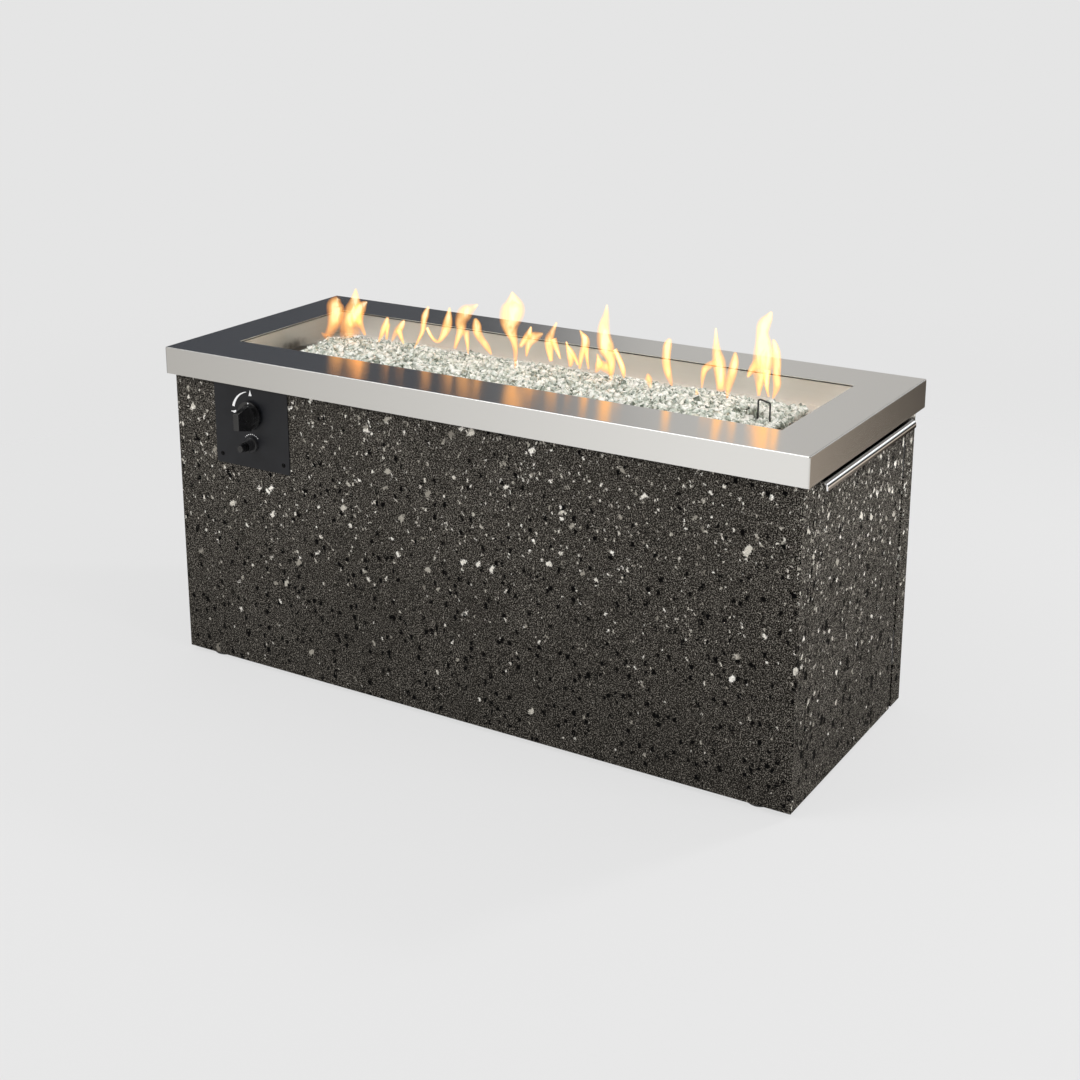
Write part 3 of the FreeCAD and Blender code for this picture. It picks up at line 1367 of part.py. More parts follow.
def make_igniter():
    """Turned pieces on the igniter's axis; their own Z runs out of the plate."""
    outward = Rotation(Vector(1, 0, 0), 90)
    place = ("control_x", "plate_front", "igniter_z")
    housing = new_body("igniter_housing")
    rear = "-barrel_depth"
    spin(housing, [[
        ("cap_radius + cap_play", "bezel_height"),
        ("cap_radius + cap_play", "barrel_reach"),
        ("barrel_radius", "barrel_reach"),
        ("barrel_radius", "bezel_height"),
        ("bezel_radius - 1.5", "bezel_height"),
        ("bezel_radius", "bezel_height - 1.5"),
        ("bezel_radius", "0"),
        ("barrel_radius", "0"),
        ("barrel_radius", rear),
        ("terminal_radius", rear),
        ("terminal_radius", f"{rear} - terminal_length"),
        ("0", f"{rear} - terminal_length"),
        ("0", f"{rear} + 2.5"),
        ("cell_radius + cell_play", f"{rear} + 2.5"),
        ("cell_radius + cell_play", "bezel_height"),
    ]])
    ring = new_body("igniter_ring")
    spin(ring, [[
        ("cap_radius + cap_play", "barrel_reach"),
        ("bright_ring_radius", "barrel_reach"),
        ("bright_ring_radius", "barrel_reach + bright_ring_height - 0.8"),
        ("bright_ring_radius - 0.8", "barrel_reach + bright_ring_height"),
        ("cap_radius + cap_play", "barrel_reach + bright_ring_height"),
    ]])
    button = new_body("igniter_button")
    spin(button, [[
        ("0", "bezel_height - cap_flange_height"),
        ("cap_flange", "bezel_height - cap_flange_height"),
        ("cap_flange", "bezel_height"),
        ("cap_radius", "bezel_height"),
        ("cap_radius", "cap_reach - cap_round"),
        ("cap_radius - 0.3 * cap_round", "cap_reach - 0.3 * cap_round"),
        ("cap_radius - cap_round", "cap_reach"),
        ("0", "cap_reach"),
    ]])
    cell = new_body("battery")
    spin(cell, [[
        ("0", f"{rear} + 2.5"),
        ("cell_radius", f"{rear} + 2.5"),
        ("cell_radius", f"{rear} + 1.5 + cell_length"),
        ("0.4 * cell_radius", f"{rear} + 1.5 + cell_length"),
        ("0.4 * cell_radius", f"{rear} + 2.5 + cell_length"),
        ("0", f"{rear} + 2.5 + cell_length"),
    ]])
    for body in (housing, ring, button, cell):
        move(body, *place, outward)
    return [housing, ring, button, cell]


def clip(axis, cross, middle, radius, foot):
    """A clip round a pipe, with a foot on the sheet or panel that carries it."""
    low = f"{middle} - clip_width / 2"
    high = f"{middle} + clip_width / 2"
    ring = rod(axis, cross, low, high, f"{radius} + clip_wall")
    return cut(fuse([ring, foot]), [rod(axis, cross, low, high, radius)])


def make_ignition_lead():
    left = "control_x - 20"
    inner = "valve_back + 26"
    terminal = "barrel_back + terminal_length"
    path = route(
        [
            point("electrode_x", "electrode_y", "spark_foot"),
            point("electrode_x", "electrode_y", "lead_z"),
            point("electrode_x", "lead_y", "lead_z"),
            point(left, "lead_y", "lead_z"),
            point(left, inner, "lead_z"),
            point(left, inner, "igniter_z"),
            point("control_x", inner, "igniter_z"),
            point("control_x", terminal, "igniter_z"),
        ],
        [8, 28, 40, 24, 10, 9],
    )
    lead = shaped("ignition_lead", tube(path, size("lead_radius")))
    clips = []
    for middle in ("control_x + 115.5", "-120", "120", "electrode_x - 140.5"):
        cross = ("lead_y", "lead_z")
        span = (f"{middle} - clip_width / 2", f"{middle} + clip_width / 2")
        foot = block(span, ("lead_y - 3", "lead_y + 3"), ("shield_top", "lead_z"))
        clips.append(clip("x", cross, middle, "lead_radius", foot))
    return [lead, group(clips, "lead_clips")]


def make_gas_cylinder():
    shell = []
    for inset in ("0", "cylinder_wall"):
        body = rod("z", ("cylinder_x", "0"), f"cylinder_bottom + {inset}", f"cylinder_top - {inset}",
                   f"cylinder_radius - {inset}")
        doc.recompute()
        rounded = doc.addObject("Part::Fillet", "shoulders")
        rounded.Base = body
        radius = size(f"cylinder_round - {inset}")
        rims = [n for n, e in enumerate(body.Shape.Edges, 1) if len(e.Vertexes) == 1]
        rounded.Edges = [(number, radius, radius) for number in rims]
        shell.append(rounded)
    spot = ("cylinder_x", "0")
    wall = "cylinder_wall"
    foot = cut(rod("z", spot, "foot_ring_bottom", "cylinder_bottom + 5.5", "foot_ring_radius"),
               [rod("z", spot, "foot_ring_bottom", "cylinder_bottom + 5.5", f"foot_ring_radius - {wall}")])
    guard = cut(
        rod("z", spot, "cylinder_top - 4", "collar_ring_top", "collar_ring_radius"),
        [
            rod("z", spot, "cylinder_top - 4", "collar_ring_top", f"collar_ring_radius - {wall}"),
            block(("cylinder_x - 60", "cylinder_x + 60"), ("-collar_ring_radius - 1", "0"),
                  ("cylinder_top + 3", "collar_ring_top + 1")),
            block(("cylinder_x - collar_ring_radius - 1", "cylinder_x + collar_ring_radius + 1"),
                  ("-35", "35"), ("collar_ring_top - 40", "collar_ring_top - 14")),
        ],
    )
    boss = rod("z", spot, "cylinder_top - 1", "boss_top", "boss_radius")
    outside = fuse([shell[0], foot, guard, boss])
    neck = rod("z", spot, "cylinder_top - 5", "boss_top + 1", "cylinder_valve_radius - 5")
    return cut(outside, [shell[1], neck], "gas_cylinder")


def make_cylinder_fittings():
    spot = ("cylinder_x", "0")
    outlet = ("cylinder_x", "gas_outlet_z")
    valve = cut(
        fuse([
            rod("z", spot, "boss_top", "cylinder_valve_top", "cylinder_valve_radius"),
            rod("z", spot, "cylinder_top - 8", "boss_top", "cylinder_valve_radius - 5"),
            rod("z", spot, "cylinder_valve_top", "wheel_bottom + wheel_height - 2", "wheel_stem_radius"),
            rod("y", outlet, "-outlet_reach", "0", "outlet_radius"),
        ]),
        [
            rod("y", outlet, "-outlet_reach - 1", "0", "passage_radius"),
            rod("z", spot, "cylinder_top - 9", "gas_outlet_z", "passage_radius"),
        ],
        "cylinder_valve",
    )
    lobes = []
    for step in range(6):
        angle = math.radians(60 * step)
        lobe = (f"cylinder_x + {math.cos(angle):.6f} * wheel_radius", f"{math.sin(angle):.6f} * wheel_radius")
        lobes.append(rod("z", lobe, "wheel_bottom - 1", "wheel_bottom + wheel_height + 1", "wheel_radius / 4"))
    shaft = rod("z", spot, "wheel_bottom - 1", "wheel_bottom + wheel_height - 2 + pin_play",
                "wheel_stem_radius + pin_play")
    wheel = cut(rod("z", spot, "wheel_bottom", "wheel_bottom + wheel_height", "wheel_radius"), lobes + [shaft],
                "handwheel")
    regulator = fuse([
        cut(
            rod("y", outlet, "-outlet_reach - coupling_length / 2", "-outlet_reach + coupling_length / 2",
                "coupling_radius"),
            [rod("y", outlet, "-outlet_reach", "0", "outlet_radius")],
        ),
        rod("y", outlet, "-regulator_y", "-outlet_reach - coupling_length / 2", "outlet_radius - 2"),
        rod("z", ("cylinder_x", "-regulator_y"), "gas_outlet_z - regulator_height / 2",
            "gas_outlet_z + regulator_height / 2", "regulator_radius"),
        rod("z", ("cylinder_x", "-regulator_y"), "gas_outlet_z", "gas_outlet_z + regulator_height / 2 + 6",
            "regulator_radius / 2"),
        rod("y", outlet, "-regulator_outlet", "-regulator_y", "outlet_radius - 3"),
    ], "regulator")
    return [valve, wheel, regulator]


def make_gas_hose():
    path = route(
        [
            point("cylinder_x", "-regulator_outlet", "gas_outlet_z"),
            point("cylinder_x", "valve_port_y", "gas_outlet_z"),
            point("cylinder_x - 150", "valve_port_y", "gas_outlet_z"),
            point("cylinder_x - 240", "valve_port_y", "valve_z"),
            point("control_x + valve_half", "valve_port_y", "valve_z"),
        ],
        [size("hose_bend")] * 3,
    )
    bore = tube(path, size("hose_bore"))
    hose = shaped("gas_hose", tube(path, size("hose_radius")).cut(bore))
    clips = []
    for middle in ("control_x + 155.5", "-80", "cylinder_x - 270"):
        cross = ("valve_port_y", "valve_z")
        span = (f"{middle} - clip_width / 2", f"{middle} + clip_width / 2")
        foot = block(span, ("-(stone_inner_y)", "valve_port_y"), ("valve_z - 5", "valve_z + 5"))
        clips.append(clip("x", cross, middle, "hose_radius", foot))
    return [hose, group(clips, "hose_clips")]


def flatten(items):
    """One list from pieces and lists of pieces."""
    pieces = []
    for item in items:
        pieces.extend(item if isinstance(item, list) else [item])
    return pieces


PIECES = flatten([
    make_table_top(),
    make_top_fixings(),
    make_base_frame(),
    make_floor_plate(),
    make_stone_panels(),
    make_panel_bolts(),
    make_feet(),
    make_door_panel(),
    make_door_backing(),
    make_door_pull(),
    make_door_fixings(),
    make_hinges(),
    make_catch(),
    make_burner_pan(),
    make_cradles(),
    make_heat_shield(),
    make_burner(),
    make_electrode(),
    make_fire_glass(),
    make_inlet(),
    make_supply_tube(),
    make_pipe_nuts(),
    make_valve(),
    make_knob(),
    make_control_plate(),
    make_igniter(),
    make_ignition_lead(),
    make_gas_cylinder(),
    make_cylinder_fittings(),
    make_gas_hose(),
])

doc.recompute()

for item in doc.Objects:
    if "Invalid" in item.State or "Error" in item.State:
        raise ValueError(f"{item.Label} could not be made")

os.makedirs("parts", exist_ok=True)
for piece in PIECES:
    if piece.Shape.isNull() or not piece.Shape.isValid():
        raise ValueError(f"{piece.Label} has a bad shape")
    piece.Shape.exportStep(f"parts/{piece.Label}.step")
    print(piece.Label, len(piece.Shape.Solids), round(piece.Shape.Volume / 1000, 2))
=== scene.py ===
import json
import math
import random

import bpy
import numpy as np
from mathutils import Euler, Matrix, Vector


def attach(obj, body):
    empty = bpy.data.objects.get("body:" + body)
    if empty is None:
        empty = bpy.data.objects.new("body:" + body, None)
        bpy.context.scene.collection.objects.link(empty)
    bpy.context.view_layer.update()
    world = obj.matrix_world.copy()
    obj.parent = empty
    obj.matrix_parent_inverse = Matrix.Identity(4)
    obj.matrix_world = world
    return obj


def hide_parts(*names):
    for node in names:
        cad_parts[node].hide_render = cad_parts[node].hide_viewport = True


# A gas fire pit table: brushed steel top, glass-filled burner pan, cast-stone base, end door.

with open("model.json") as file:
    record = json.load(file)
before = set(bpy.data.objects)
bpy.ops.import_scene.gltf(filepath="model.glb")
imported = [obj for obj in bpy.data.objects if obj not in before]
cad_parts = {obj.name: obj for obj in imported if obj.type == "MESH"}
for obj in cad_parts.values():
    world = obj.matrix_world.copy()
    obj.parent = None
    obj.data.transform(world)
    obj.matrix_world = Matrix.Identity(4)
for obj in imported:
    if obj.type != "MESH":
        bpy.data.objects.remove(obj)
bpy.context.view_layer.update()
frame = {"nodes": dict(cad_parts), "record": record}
NODES = frame["nodes"]
RECORD = frame["record"]
SLOT_OF = {part["node"]: part["material_slot"] for part in RECORD["subparts"]}

chance = random.Random(42)
glints = random.Random(7)

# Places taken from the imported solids, in metres.
CONTROL_X = -0.4355
KNOB_Z = 0.4875
IGNITER_Z = 0.4326
RIDGE_Z = 0.5745
PAN_FLOOR = 0.544
GLASS_LEFT = -0.482
GLASS_RIGHT = 0.472
GLASS_FRONT = -0.125
GLASS_BACK = 0.105
GLASS_BED = 0.010
GLASS_LUMP = 0.003
GLASS_BACK_SHARE = 0.6
RIDGE_START = GLASS_LEFT + 0.075
RIDGE_END = 0.3905
RIDGE_STEP = 0.042
RIDGE_FOOT = 0.4245
BURNER_AXIS_Z = 0.557
BURNER_RADIUS = 0.0095
BURNER_LEFT = -0.456
BURNER_RIGHT = 0.424
ELECTRODE = (0.4405, 0.003)
GUARD_LEGS_X = (0.430, 0.451)
GUARD_Y = -0.005
STONE_END = 0.605

# The bed under the loose glass: its middle, its size and how far it lies under the heap's surface.
BED_PLACE = (-0.005, -0.010, 0)
BED_SIZE = (0.950, 0.226, 1)
BED_SINK = 0.008
BED_LIFT = 0.0006

# How the loose glass is scattered: share of the pitch, the thinnest cover, the lowest place, and up or down.
SCATTER = 0.45
THINNEST = 0.002
LOWEST = 0.0045
SHAKE = 0.0012

# Room that the loose glass leaves round what stands in it, in metres.
ELECTRODE_ROOM = 0.0095
GUARD_ROOM_X = 0.0045
GUARD_ROOM_Y = 0.0055
BURNER_ROOM = 0.0048

# Marks on the controls, in metres: how far from the knob's or the igniter's axis each one lies.
SWEEP_RADIUS = 0.041
WEDGE_FOOT = 0.034
UPPER_TIP = 0.045
LEFT_TIP = 0.046
WEDGE_HALF = 0.0035
DASH_RADIUS = 0.0185
DASH_HALF = 0.0007
DOT_RISE = 0.0222
DOT_RADIUS = 0.0013

# The painted shade at the left end of the pan, beside the glass, and how fast it fades along each axis.
PAN_SHADE_CENTRE = (-0.512, 0.006, 0.545)
PAN_SHADE_FADE = (34, 21, 60)

# Greys of the backdrop, of the floor under it and of the light from all round.
BACKDROP = (0.783, 0.783, 0.783, 1)
FLOOR_GREY = (0.72, 0.72, 0.72, 1)
SOFT_GREY = (0.80, 0.80, 0.80, 1)
BLACK = (0.0, 0.0, 0.0)
CLEAR = (1, 1, 1, 1)


# Camera, at the photograph's viewing angle.

CAMERA_PLACE = (1.5176, -2.4653, 1.3479)
CAMERA_TURN = math.radians(31.355)
CAMERA_TILT = math.radians(15.218)
CAMERA_LENS = 57.45
CAMERA_SHIFT = -0.15


def make_camera():
    data = bpy.data.cameras.new("camera")
    camera = bpy.data.objects.new("camera", data)
    bpy.context.collection.objects.link(camera)
    camera.location = CAMERA_PLACE
    camera.rotation_euler = (math.pi / 2 - CAMERA_TILT, 0, CAMERA_TURN)
    data.sensor_width = 36
    data.lens = CAMERA_LENS
    data.shift_y = CAMERA_SHIFT
    data.clip_start = 0.05
    data.clip_end = 100
    bpy.context.scene.camera = camera


# Node helpers.


class Tree:
    """A node tree, with short calls that add nodes and give back their outputs."""

    def __init__(self, tree):
        self.nodes = tree.nodes
        self.links = tree.links

    def add(self, kind, **settings):
        node = self.nodes.new("ShaderNode" + kind)
        for name, value in settings.items():
            setattr(node, name, value)
        return node

    def feed(self, node, socket, source):
        target = node.inputs[socket]
        if hasattr(source, "is_output"):
            self.links.new(source, target)
        else:
            target.default_value = source

    def math(self, operation, first, second=None, third=None, clamp=False):
        node = self.add("Math", operation=operation, use_clamp=clamp)
        self.feed(node, 0, first)
        if second is not None:
            self.feed(node, 1, second)
        if third is not None:
            self.feed(node, 2, third)
        return node.outputs[0]

    def vector(self, operation, first, second):
        node = self.add("VectorMath", operation=operation)
        self.feed(node, 0, first)
        self.feed(node, 1, second)
        return node.outputs[0]

    def scaled_sum(self, first, share, second, other_share):
        """Two values, each times its share, added."""
        return self.math("ADD", self.math("MULTIPLY", first, share), self.math("MULTIPLY", second, other_share))

    def radius(self, x, z):
        """How far a place is from the axis that x and z are measured from."""
        return self.math("SQRT", self.math("ADD", self.math("MULTIPLY", x, x), self.math("MULTIPLY", z, z)))

    def within(self, value, low, high):
        return self.math("MULTIPLY", self.math("GREATER_THAN", value, low), self.math("LESS_THAN", value, high))

    def near(self, value, middle, reach):
        return self.math("LESS_THAN", self.math("ABSOLUTE", self.math("SUBTRACT", value, middle)), reach)

    def length(self, coords):
        node = self.add("VectorMath", operation="LENGTH")
        self.feed(node, 0, coords)
        return node.outputs["Value"]

    def split(self, coords):
        """A vector's X, Y and Z."""
        node = self.add("SeparateXYZ")
        self.feed(node, 0, coords)
        return node.outputs["X"], node.outputs["Y"], node.outputs["Z"]

    def split_colour(self, colour):
        node = self.add("SeparateColor")
        self.feed(node, 0, colour)
        return node.outputs["Red"], node.outputs["Green"], node.outputs["Blue"]

    def noise(self, coords, scale, detail=3.0, rough=0.5, distortion=0.0):
        node = self.add("TexNoise")
        self.feed(node, "Vector", coords)
        self.feed(node, "Scale", scale)
        self.feed(node, "Detail", detail)
        self.feed(node, "Roughness", rough)
        self.feed(node, "Distortion", distortion)
        return node.outputs["Fac"]

    def cells(self, coords, scale, metric="EUCLIDEAN"):
        node = self.add("TexVoronoi", distance=metric)
        self.feed(node, "Vector", coords)
        self.feed(node, "Scale", scale)
        return node.outputs["Distance"], node.outputs["Color"]

    def ramp(self, value, *stops):
        node = self.add("ValToRGB")
        self.feed(node, "Fac", value)
        line = node.color_ramp
        while len(line.elements) < len(stops):
            line.elements.new(0.5)
        for element, (place, colour) in zip(line.elements, stops):
            element.position = place
            element.color = (*colour, 1)
        return node.outputs["Color"]

    def step(self, value, low, high):
        node = self.add("MapRange", interpolation_type="SMOOTHSTEP")
        self.feed(node, "Value", value)
        self.feed(node, "From Min", low)
        self.feed(node, "From Max", high)
        return node.outputs["Result"]

    def spread(self, value, low, high, new_low, new_high):
        node = self.add("MapRange")
        self.feed(node, "Value", value)
        self.feed(node, "From Min", low)
        self.feed(node, "From Max", high)
        self.feed(node, "To Min", new_low)
        self.feed(node, "To Max", new_high)
        return node.outputs["Result"]

    def mix(self, share, first, second, blend="MIX"):
        node = self.add("Mix", data_type="RGBA", blend_type=blend)
        self.feed(node, 0, share)
        self.feed(node, 6, first)
        self.feed(node, 7, second)
        return node.outputs[2]

    def bump(self, height, distance, strength):
        node = self.add("Bump")
        self.feed(node, "Strength", strength)
        self.feed(node, "Distance", distance)
        self.feed(node, "Height", height)
        return node.outputs["Normal"]

    def place(self):
        """The place on the piece, in the part's own frame."""
        return self.add("TexCoord").outputs["Object"]

    def normal(self):
        """The surface's direction, as X, Y and Z."""
        return self.split(self.add("NewGeometry").outputs["Normal"])

    def mixed(self, share, first, second):
        """One shader fading into another."""
        node = self.add("MixShader")
        self.feed(node, 0, share)
        self.feed(node, 1, first)
        self.feed(node, 2, second)
        return node.outputs[0]

    def group(self, name, **values):
        node = self.add("Group", node_tree=bpy.data.node_groups[name])
        for socket, value in values.items():
            self.feed(node, socket.replace("_", " "), value)
        return node.outputs


def new_group(name, inputs, outputs):
    """An effect that several finishes share."""
    tree = bpy.data.node_groups.new(name, "ShaderNodeTree")
    for label, kind, value in inputs:
        socket = tree.interface.new_socket(label, in_out="INPUT", socket_type=kind)
        socket.default_value = value
    for label, kind in outputs:
        tree.interface.new_socket(label, in_out="OUTPUT", socket_type=kind)
    return Tree(tree), tree.nodes.new("NodeGroupInput").outputs, tree.nodes.new("NodeGroupOutput")


def open_finish(material):
    """A finish's node tree and its principled shader."""
    tree = Tree(material.node_tree)
    return tree, next(n for n in tree.nodes if n.type == "BSDF_PRINCIPLED")


def finish_material(name):
    """A material with its principled shader, ready for the finish's own nodes."""
    material = bpy.data.materials.new(name)
    material.use_nodes = True
    return (material, *open_finish(material))


def bare_material(name):
    """A material without any node yet."""
    material = bpy.data.materials.new(name)
    material.use_nodes = True
    tree = Tree(material.node_tree)
    tree.nodes.clear()
    return material, tree


def colour_so_far(shader):
    """What feeds the finish's colour, for a mark to be laid over it."""
    return shader.inputs["Base Color"].links[0].from_socket


# Effects that several finishes share.


def make_brushing():
    """Long fine scratches along X, with broad soft bands."""
    tree, given, out = new_group(
        "Brushing",
        [("Fineness", "NodeSocketFloat", 900.0), ("Stretch", "NodeSocketVector", (0.02, 1.0, 1.0))],
        [("Streaks", "NodeSocketFloat"), ("Height", "NodeSocketFloat")],
    )
    along = tree.vector("MULTIPLY", tree.place(), given["Stretch"])
    fine = tree.noise(along, given["Fineness"], 4.0, 0.6)
    broad = tree.noise(along, tree.math("MULTIPLY", given["Fineness"], 0.12), 2.0, 0.5)
    tree.feed(out, "Streaks", tree.scaled_sum(fine, 0.65, broad, 0.35))
    tree.feed(out, "Height", fine)


def make_pebbling():
    """The small soft bumps of powder coat and moulded plastic."""
    tree, given, out = new_group(
        "Pebbling",
        [("Fineness", "NodeSocketFloat", 1200.0)],
        [("Height", "NodeSocketFloat"), ("Mottle", "NodeSocketFloat")],
    )
    coords = tree.place()
    distance, _ = tree.cells(coords, given["Fineness"])
    soft = tree.noise(coords, tree.math("MULTIPLY", given["Fineness"], 0.5), 2.0)
    tree.feed(out, "Height", tree.math("ADD", distance, soft))
    tree.feed(out, "Mottle", tree.noise(coords, 14.0, 4.0, 0.6))


def make_dust():
    """A little dust and handling on surfaces that face up."""
    tree, given, out = new_group(
        "Dust",
        [("Amount", "NodeSocketFloat", 0.2)],
        [("Mask", "NodeSocketFloat")],
    )
    _, _, up = tree.normal()
    upward = tree.step(up, 0.2, 0.9)
    patches = tree.step(tree.noise(tree.place(), 30.0, 5.0, 0.65), 0.45, 0.75)
    tree.feed(out, "Mask", tree.math("MULTIPLY", tree.math("MULTIPLY", upward, patches), given["Amount"]))


# Finishes.


def brushed_steel(name, colour, rough, fineness, spread, drawn=0.0):
    """Steel with its brushing along X, and along Y on the faces at the ends."""
    material, tree, shader = finish_material(name)
    sideways, _, _ = tree.normal()
    end_side = tree.math("GREATER_THAN", tree.math("ABSOLUTE", sideways), 0.7)
    stretch = tree.mix(end_side, (0.006, 1, 1, 1), (1, 0.006, 1, 1))
    brushing = tree.group("Brushing", Fineness=fineness, Stretch=stretch)
    low = tuple(c * (1 - spread) for c in colour)
    high = tuple(min(1, c * (1 + spread)) for c in colour)
    tree.feed(shader, "Base Color", tree.mix(brushing["Streaks"], (*low, 1), (*high, 1)))
    tree.feed(shader, "Roughness", tree.spread(brushing["Streaks"], 0.3, 0.7, rough - 0.02, rough + 0.03))
    tree.feed(shader, "Normal", tree.bump(brushing["Height"], 0.00002, 0.25))
    shader.inputs["Metallic"].default_value = 1.0
    if drawn:
        shader.inputs["Anisotropic"].default_value = drawn
        tree.feed(shader, "Tangent", tree.mix(end_side, (0, 1, 1, 1), (0, 0, 1, 1)))
    return material


def pan_steel():
    """Pale brushed steel with painted shade at the burner's left end."""
    material = brushed_steel("pan_steel", (0.84, 0.825, 0.79), 0.50, 2200.0, 0.05)
    tree, shader = open_finish(material)
    coords = tree.place()
    from_centre = tree.vector("SUBTRACT", coords, PAN_SHADE_CENTRE)
    span = tree.length(tree.vector("MULTIPLY", from_centre, PAN_SHADE_FADE))
    ragged = tree.math("ADD", span, tree.spread(tree.noise(coords, 60.0, 4.0), 0.3, 0.7, -0.16, 0.16))
    # Painted shade: a dark patch on the pan beside the left end of the glass.
    blotch = tree.step(ragged, 1.35, 0.40)
    tree.feed(shader, "Base Color", tree.mix(blotch, colour_so_far(shader), (0.11, 0.10, 0.085, 1)))
    return material


def plated_steel(name, colour, rough):
    """Bright zinc over steel, with its faint cloudiness."""
    material, tree, shader = finish_material(name)
    cloud = tree.noise(tree.place(), 220.0, 4.0, 0.6)
    low = tuple(c * 0.82 for c in colour)
    high = tuple(min(1, c * 1.18) for c in colour)
    tree.feed(shader, "Base Color", tree.mix(cloud, (*low, 1), (*high, 1)))
    tree.feed(shader, "Roughness", tree.spread(cloud, 0.3, 0.7, rough - 0.04, rough + 0.06))
    shader.inputs["Metallic"].default_value = 1.0
    return material


def stone_flecks(tree, coords, scale, share, largest, power, squeeze, soft):
    """Specks of one size range: their mask, and a random tone for each speck."""
    distance, cell = tree.cells(tree.vector("MULTIPLY", coords, squeeze), scale, "CHEBYCHEV")
    pick, size, tone = tree.split_colour(cell)
    present = tree.math("LESS_THAN", pick, share)
    reach = tree.math("MULTIPLY", tree.math("POWER", size, power), largest)
    mask = tree.math("MULTIPLY", present, tree.step(tree.math("SUBTRACT", reach, distance), 0.0, soft))
    return mask, tone


def cast_stone():
    """Dark sandy stone with pale broken flakes of many sizes and small pits painted black as their shade."""
    material, tree, shader = finish_material("cast_stone")
    coords = tree.place()
    wobble = tree.add("TexNoise")
    tree.feed(wobble, "Vector", coords)
    tree.feed(wobble, "Scale", 150.0)
    tree.feed(wobble, "Detail", 4.0)
    tree.feed(wobble, "Roughness", 0.75)
    offset = tree.vector("SUBTRACT", wobble.outputs["Color"], (0.5, 0.5, 0.5))
    broken = tree.vector("ADD", coords, tree.vector("MULTIPLY", offset, (0.014, 0.014, 0.014)))

    fine = tree.noise(coords, 760.0, 1.0, 0.6)
    coarse = tree.noise(coords, 470.0, 1.0, 0.6)
    grain = tree.scaled_sum(fine, 0.5, coarse, 0.5)
    cloud = tree.noise(coords, 7.0, 4.0, 0.6)
    colour = tree.ramp(
        grain,
        (0.43, (0.0015, 0.0012, 0.001)),
        (0.49, (0.0125, 0.0112, 0.0092)),
        (0.54, (0.052, 0.0465, 0.0395)),
        (0.62, (0.31, 0.285, 0.248)),
    )
    colour = tree.mix(tree.spread(cloud, 0.35, 0.65, 0.0, 0.22), colour, (0.020, 0.0175, 0.014, 1))

    along, _, height = tree.split(coords)
    # Painted shade: fewer pale flakes low down, so the stone reads darker towards the bottom.
    rich = tree.spread(height, 0.10, 0.55, 0.16, 1.15)
    # Painted light: the end face gets more pale flakes, so it reads lighter than the front.
    end_side = tree.step(along, STONE_END - 0.001, STONE_END + 0.001)
    rich = tree.math("MULTIPLY", rich, tree.math("MULTIPLY_ADD", end_side, 0.7, 1.0))
    flakes = None
    # Cells per metre, share of them that hold a flake, largest size, spread of sizes, turn, squeeze.
    for scale, share, largest, power, turn, squeeze in (
        (24.0, 0.17, 0.22, 1.0, (1.0, 0.8, 0.4), (1.0, 1.0, 1.8)),
        (40.0, 0.21, 0.29, 1.0, (0.7, 0.6, 0.2), (1.0, 1.0, 1.7)),
        (55.0, 0.20, 0.27, 1.0, (-0.9, -0.7, 0.5), (1.0, 1.0, 1.9)),
        (85.0, 0.25, 0.30, 0.8, (1.3, 1.1, 0.3), (1.0, 1.0, 1.6)),
        (140.0, 0.24, 0.34, 0.6, (0.5, -1.2, 0.9), (1.0, 1.0, 1.5)),
    ):
        turned = tree.add("VectorRotate", rotation_type="EULER_XYZ")
        tree.feed(turned, "Vector", broken)
        tree.feed(turned, "Rotation", turn)
        wanted = tree.math("MULTIPLY", rich, share)
        mask, tone = stone_flecks(tree, turned.outputs[0], scale, wanted, largest, power, squeeze, 0.035)
        pale = tree.ramp(
            tone,
            (0.0, (0.17, 0.155, 0.13)),
            (0.30, (0.40, 0.375, 0.32)),
            (0.60, (0.72, 0.68, 0.60)),
            (1.0, (1.0, 0.97, 0.90)),
        )
        worn = tree.mix(tree.spread(grain, 0.42, 0.52, 0.55, 0.0), pale, (0.13, 0.115, 0.095, 1))
        colour = tree.mix(mask, colour, worn)
        flakes = mask if flakes is None else tree.math("MAXIMUM", flakes, mask)

    # Painted shade: the colour is darkened towards the bottom.
    colour = tree.mix(1.0, colour, tree.spread(height, 0.05, 0.35, 0.84, 1.0), "MULTIPLY")
    # Painted shade: more black pits low down.
    low_down = tree.spread(height, 0.55, 0.10, 0.12, 0.60)
    # Pits painted black: painted shade in their hollows.
    pits = None
    for scale, largest, shift in ((40.0, 0.27, (2.2, 5.1, 1.4)), (75.0, 0.33, (7.7, 3.1, 6.4))):
        moved = tree.vector("ADD", broken, shift)
        mask, _ = stone_flecks(tree, moved, scale, low_down, largest, 0.9, (1.0, 1.0, 0.8), 0.04)
        colour = tree.mix(mask, colour, (0.001, 0.001, 0.001, 1))
        pits = mask if pits is None else tree.math("MAXIMUM", pits, mask)

    relief = tree.scaled_sum(flakes, 0.3, pits, -1.2)
    tree.feed(shader, "Base Color", colour)
    tree.feed(shader, "Roughness", tree.spread(flakes, 0.0, 1.0, 0.75, 0.40))
    tree.feed(shader, "Normal", tree.bump(tree.math("ADD", grain, relief), 0.0012, 0.8))
    shader.inputs["Specular IOR Level"].default_value = 0.06
    return material


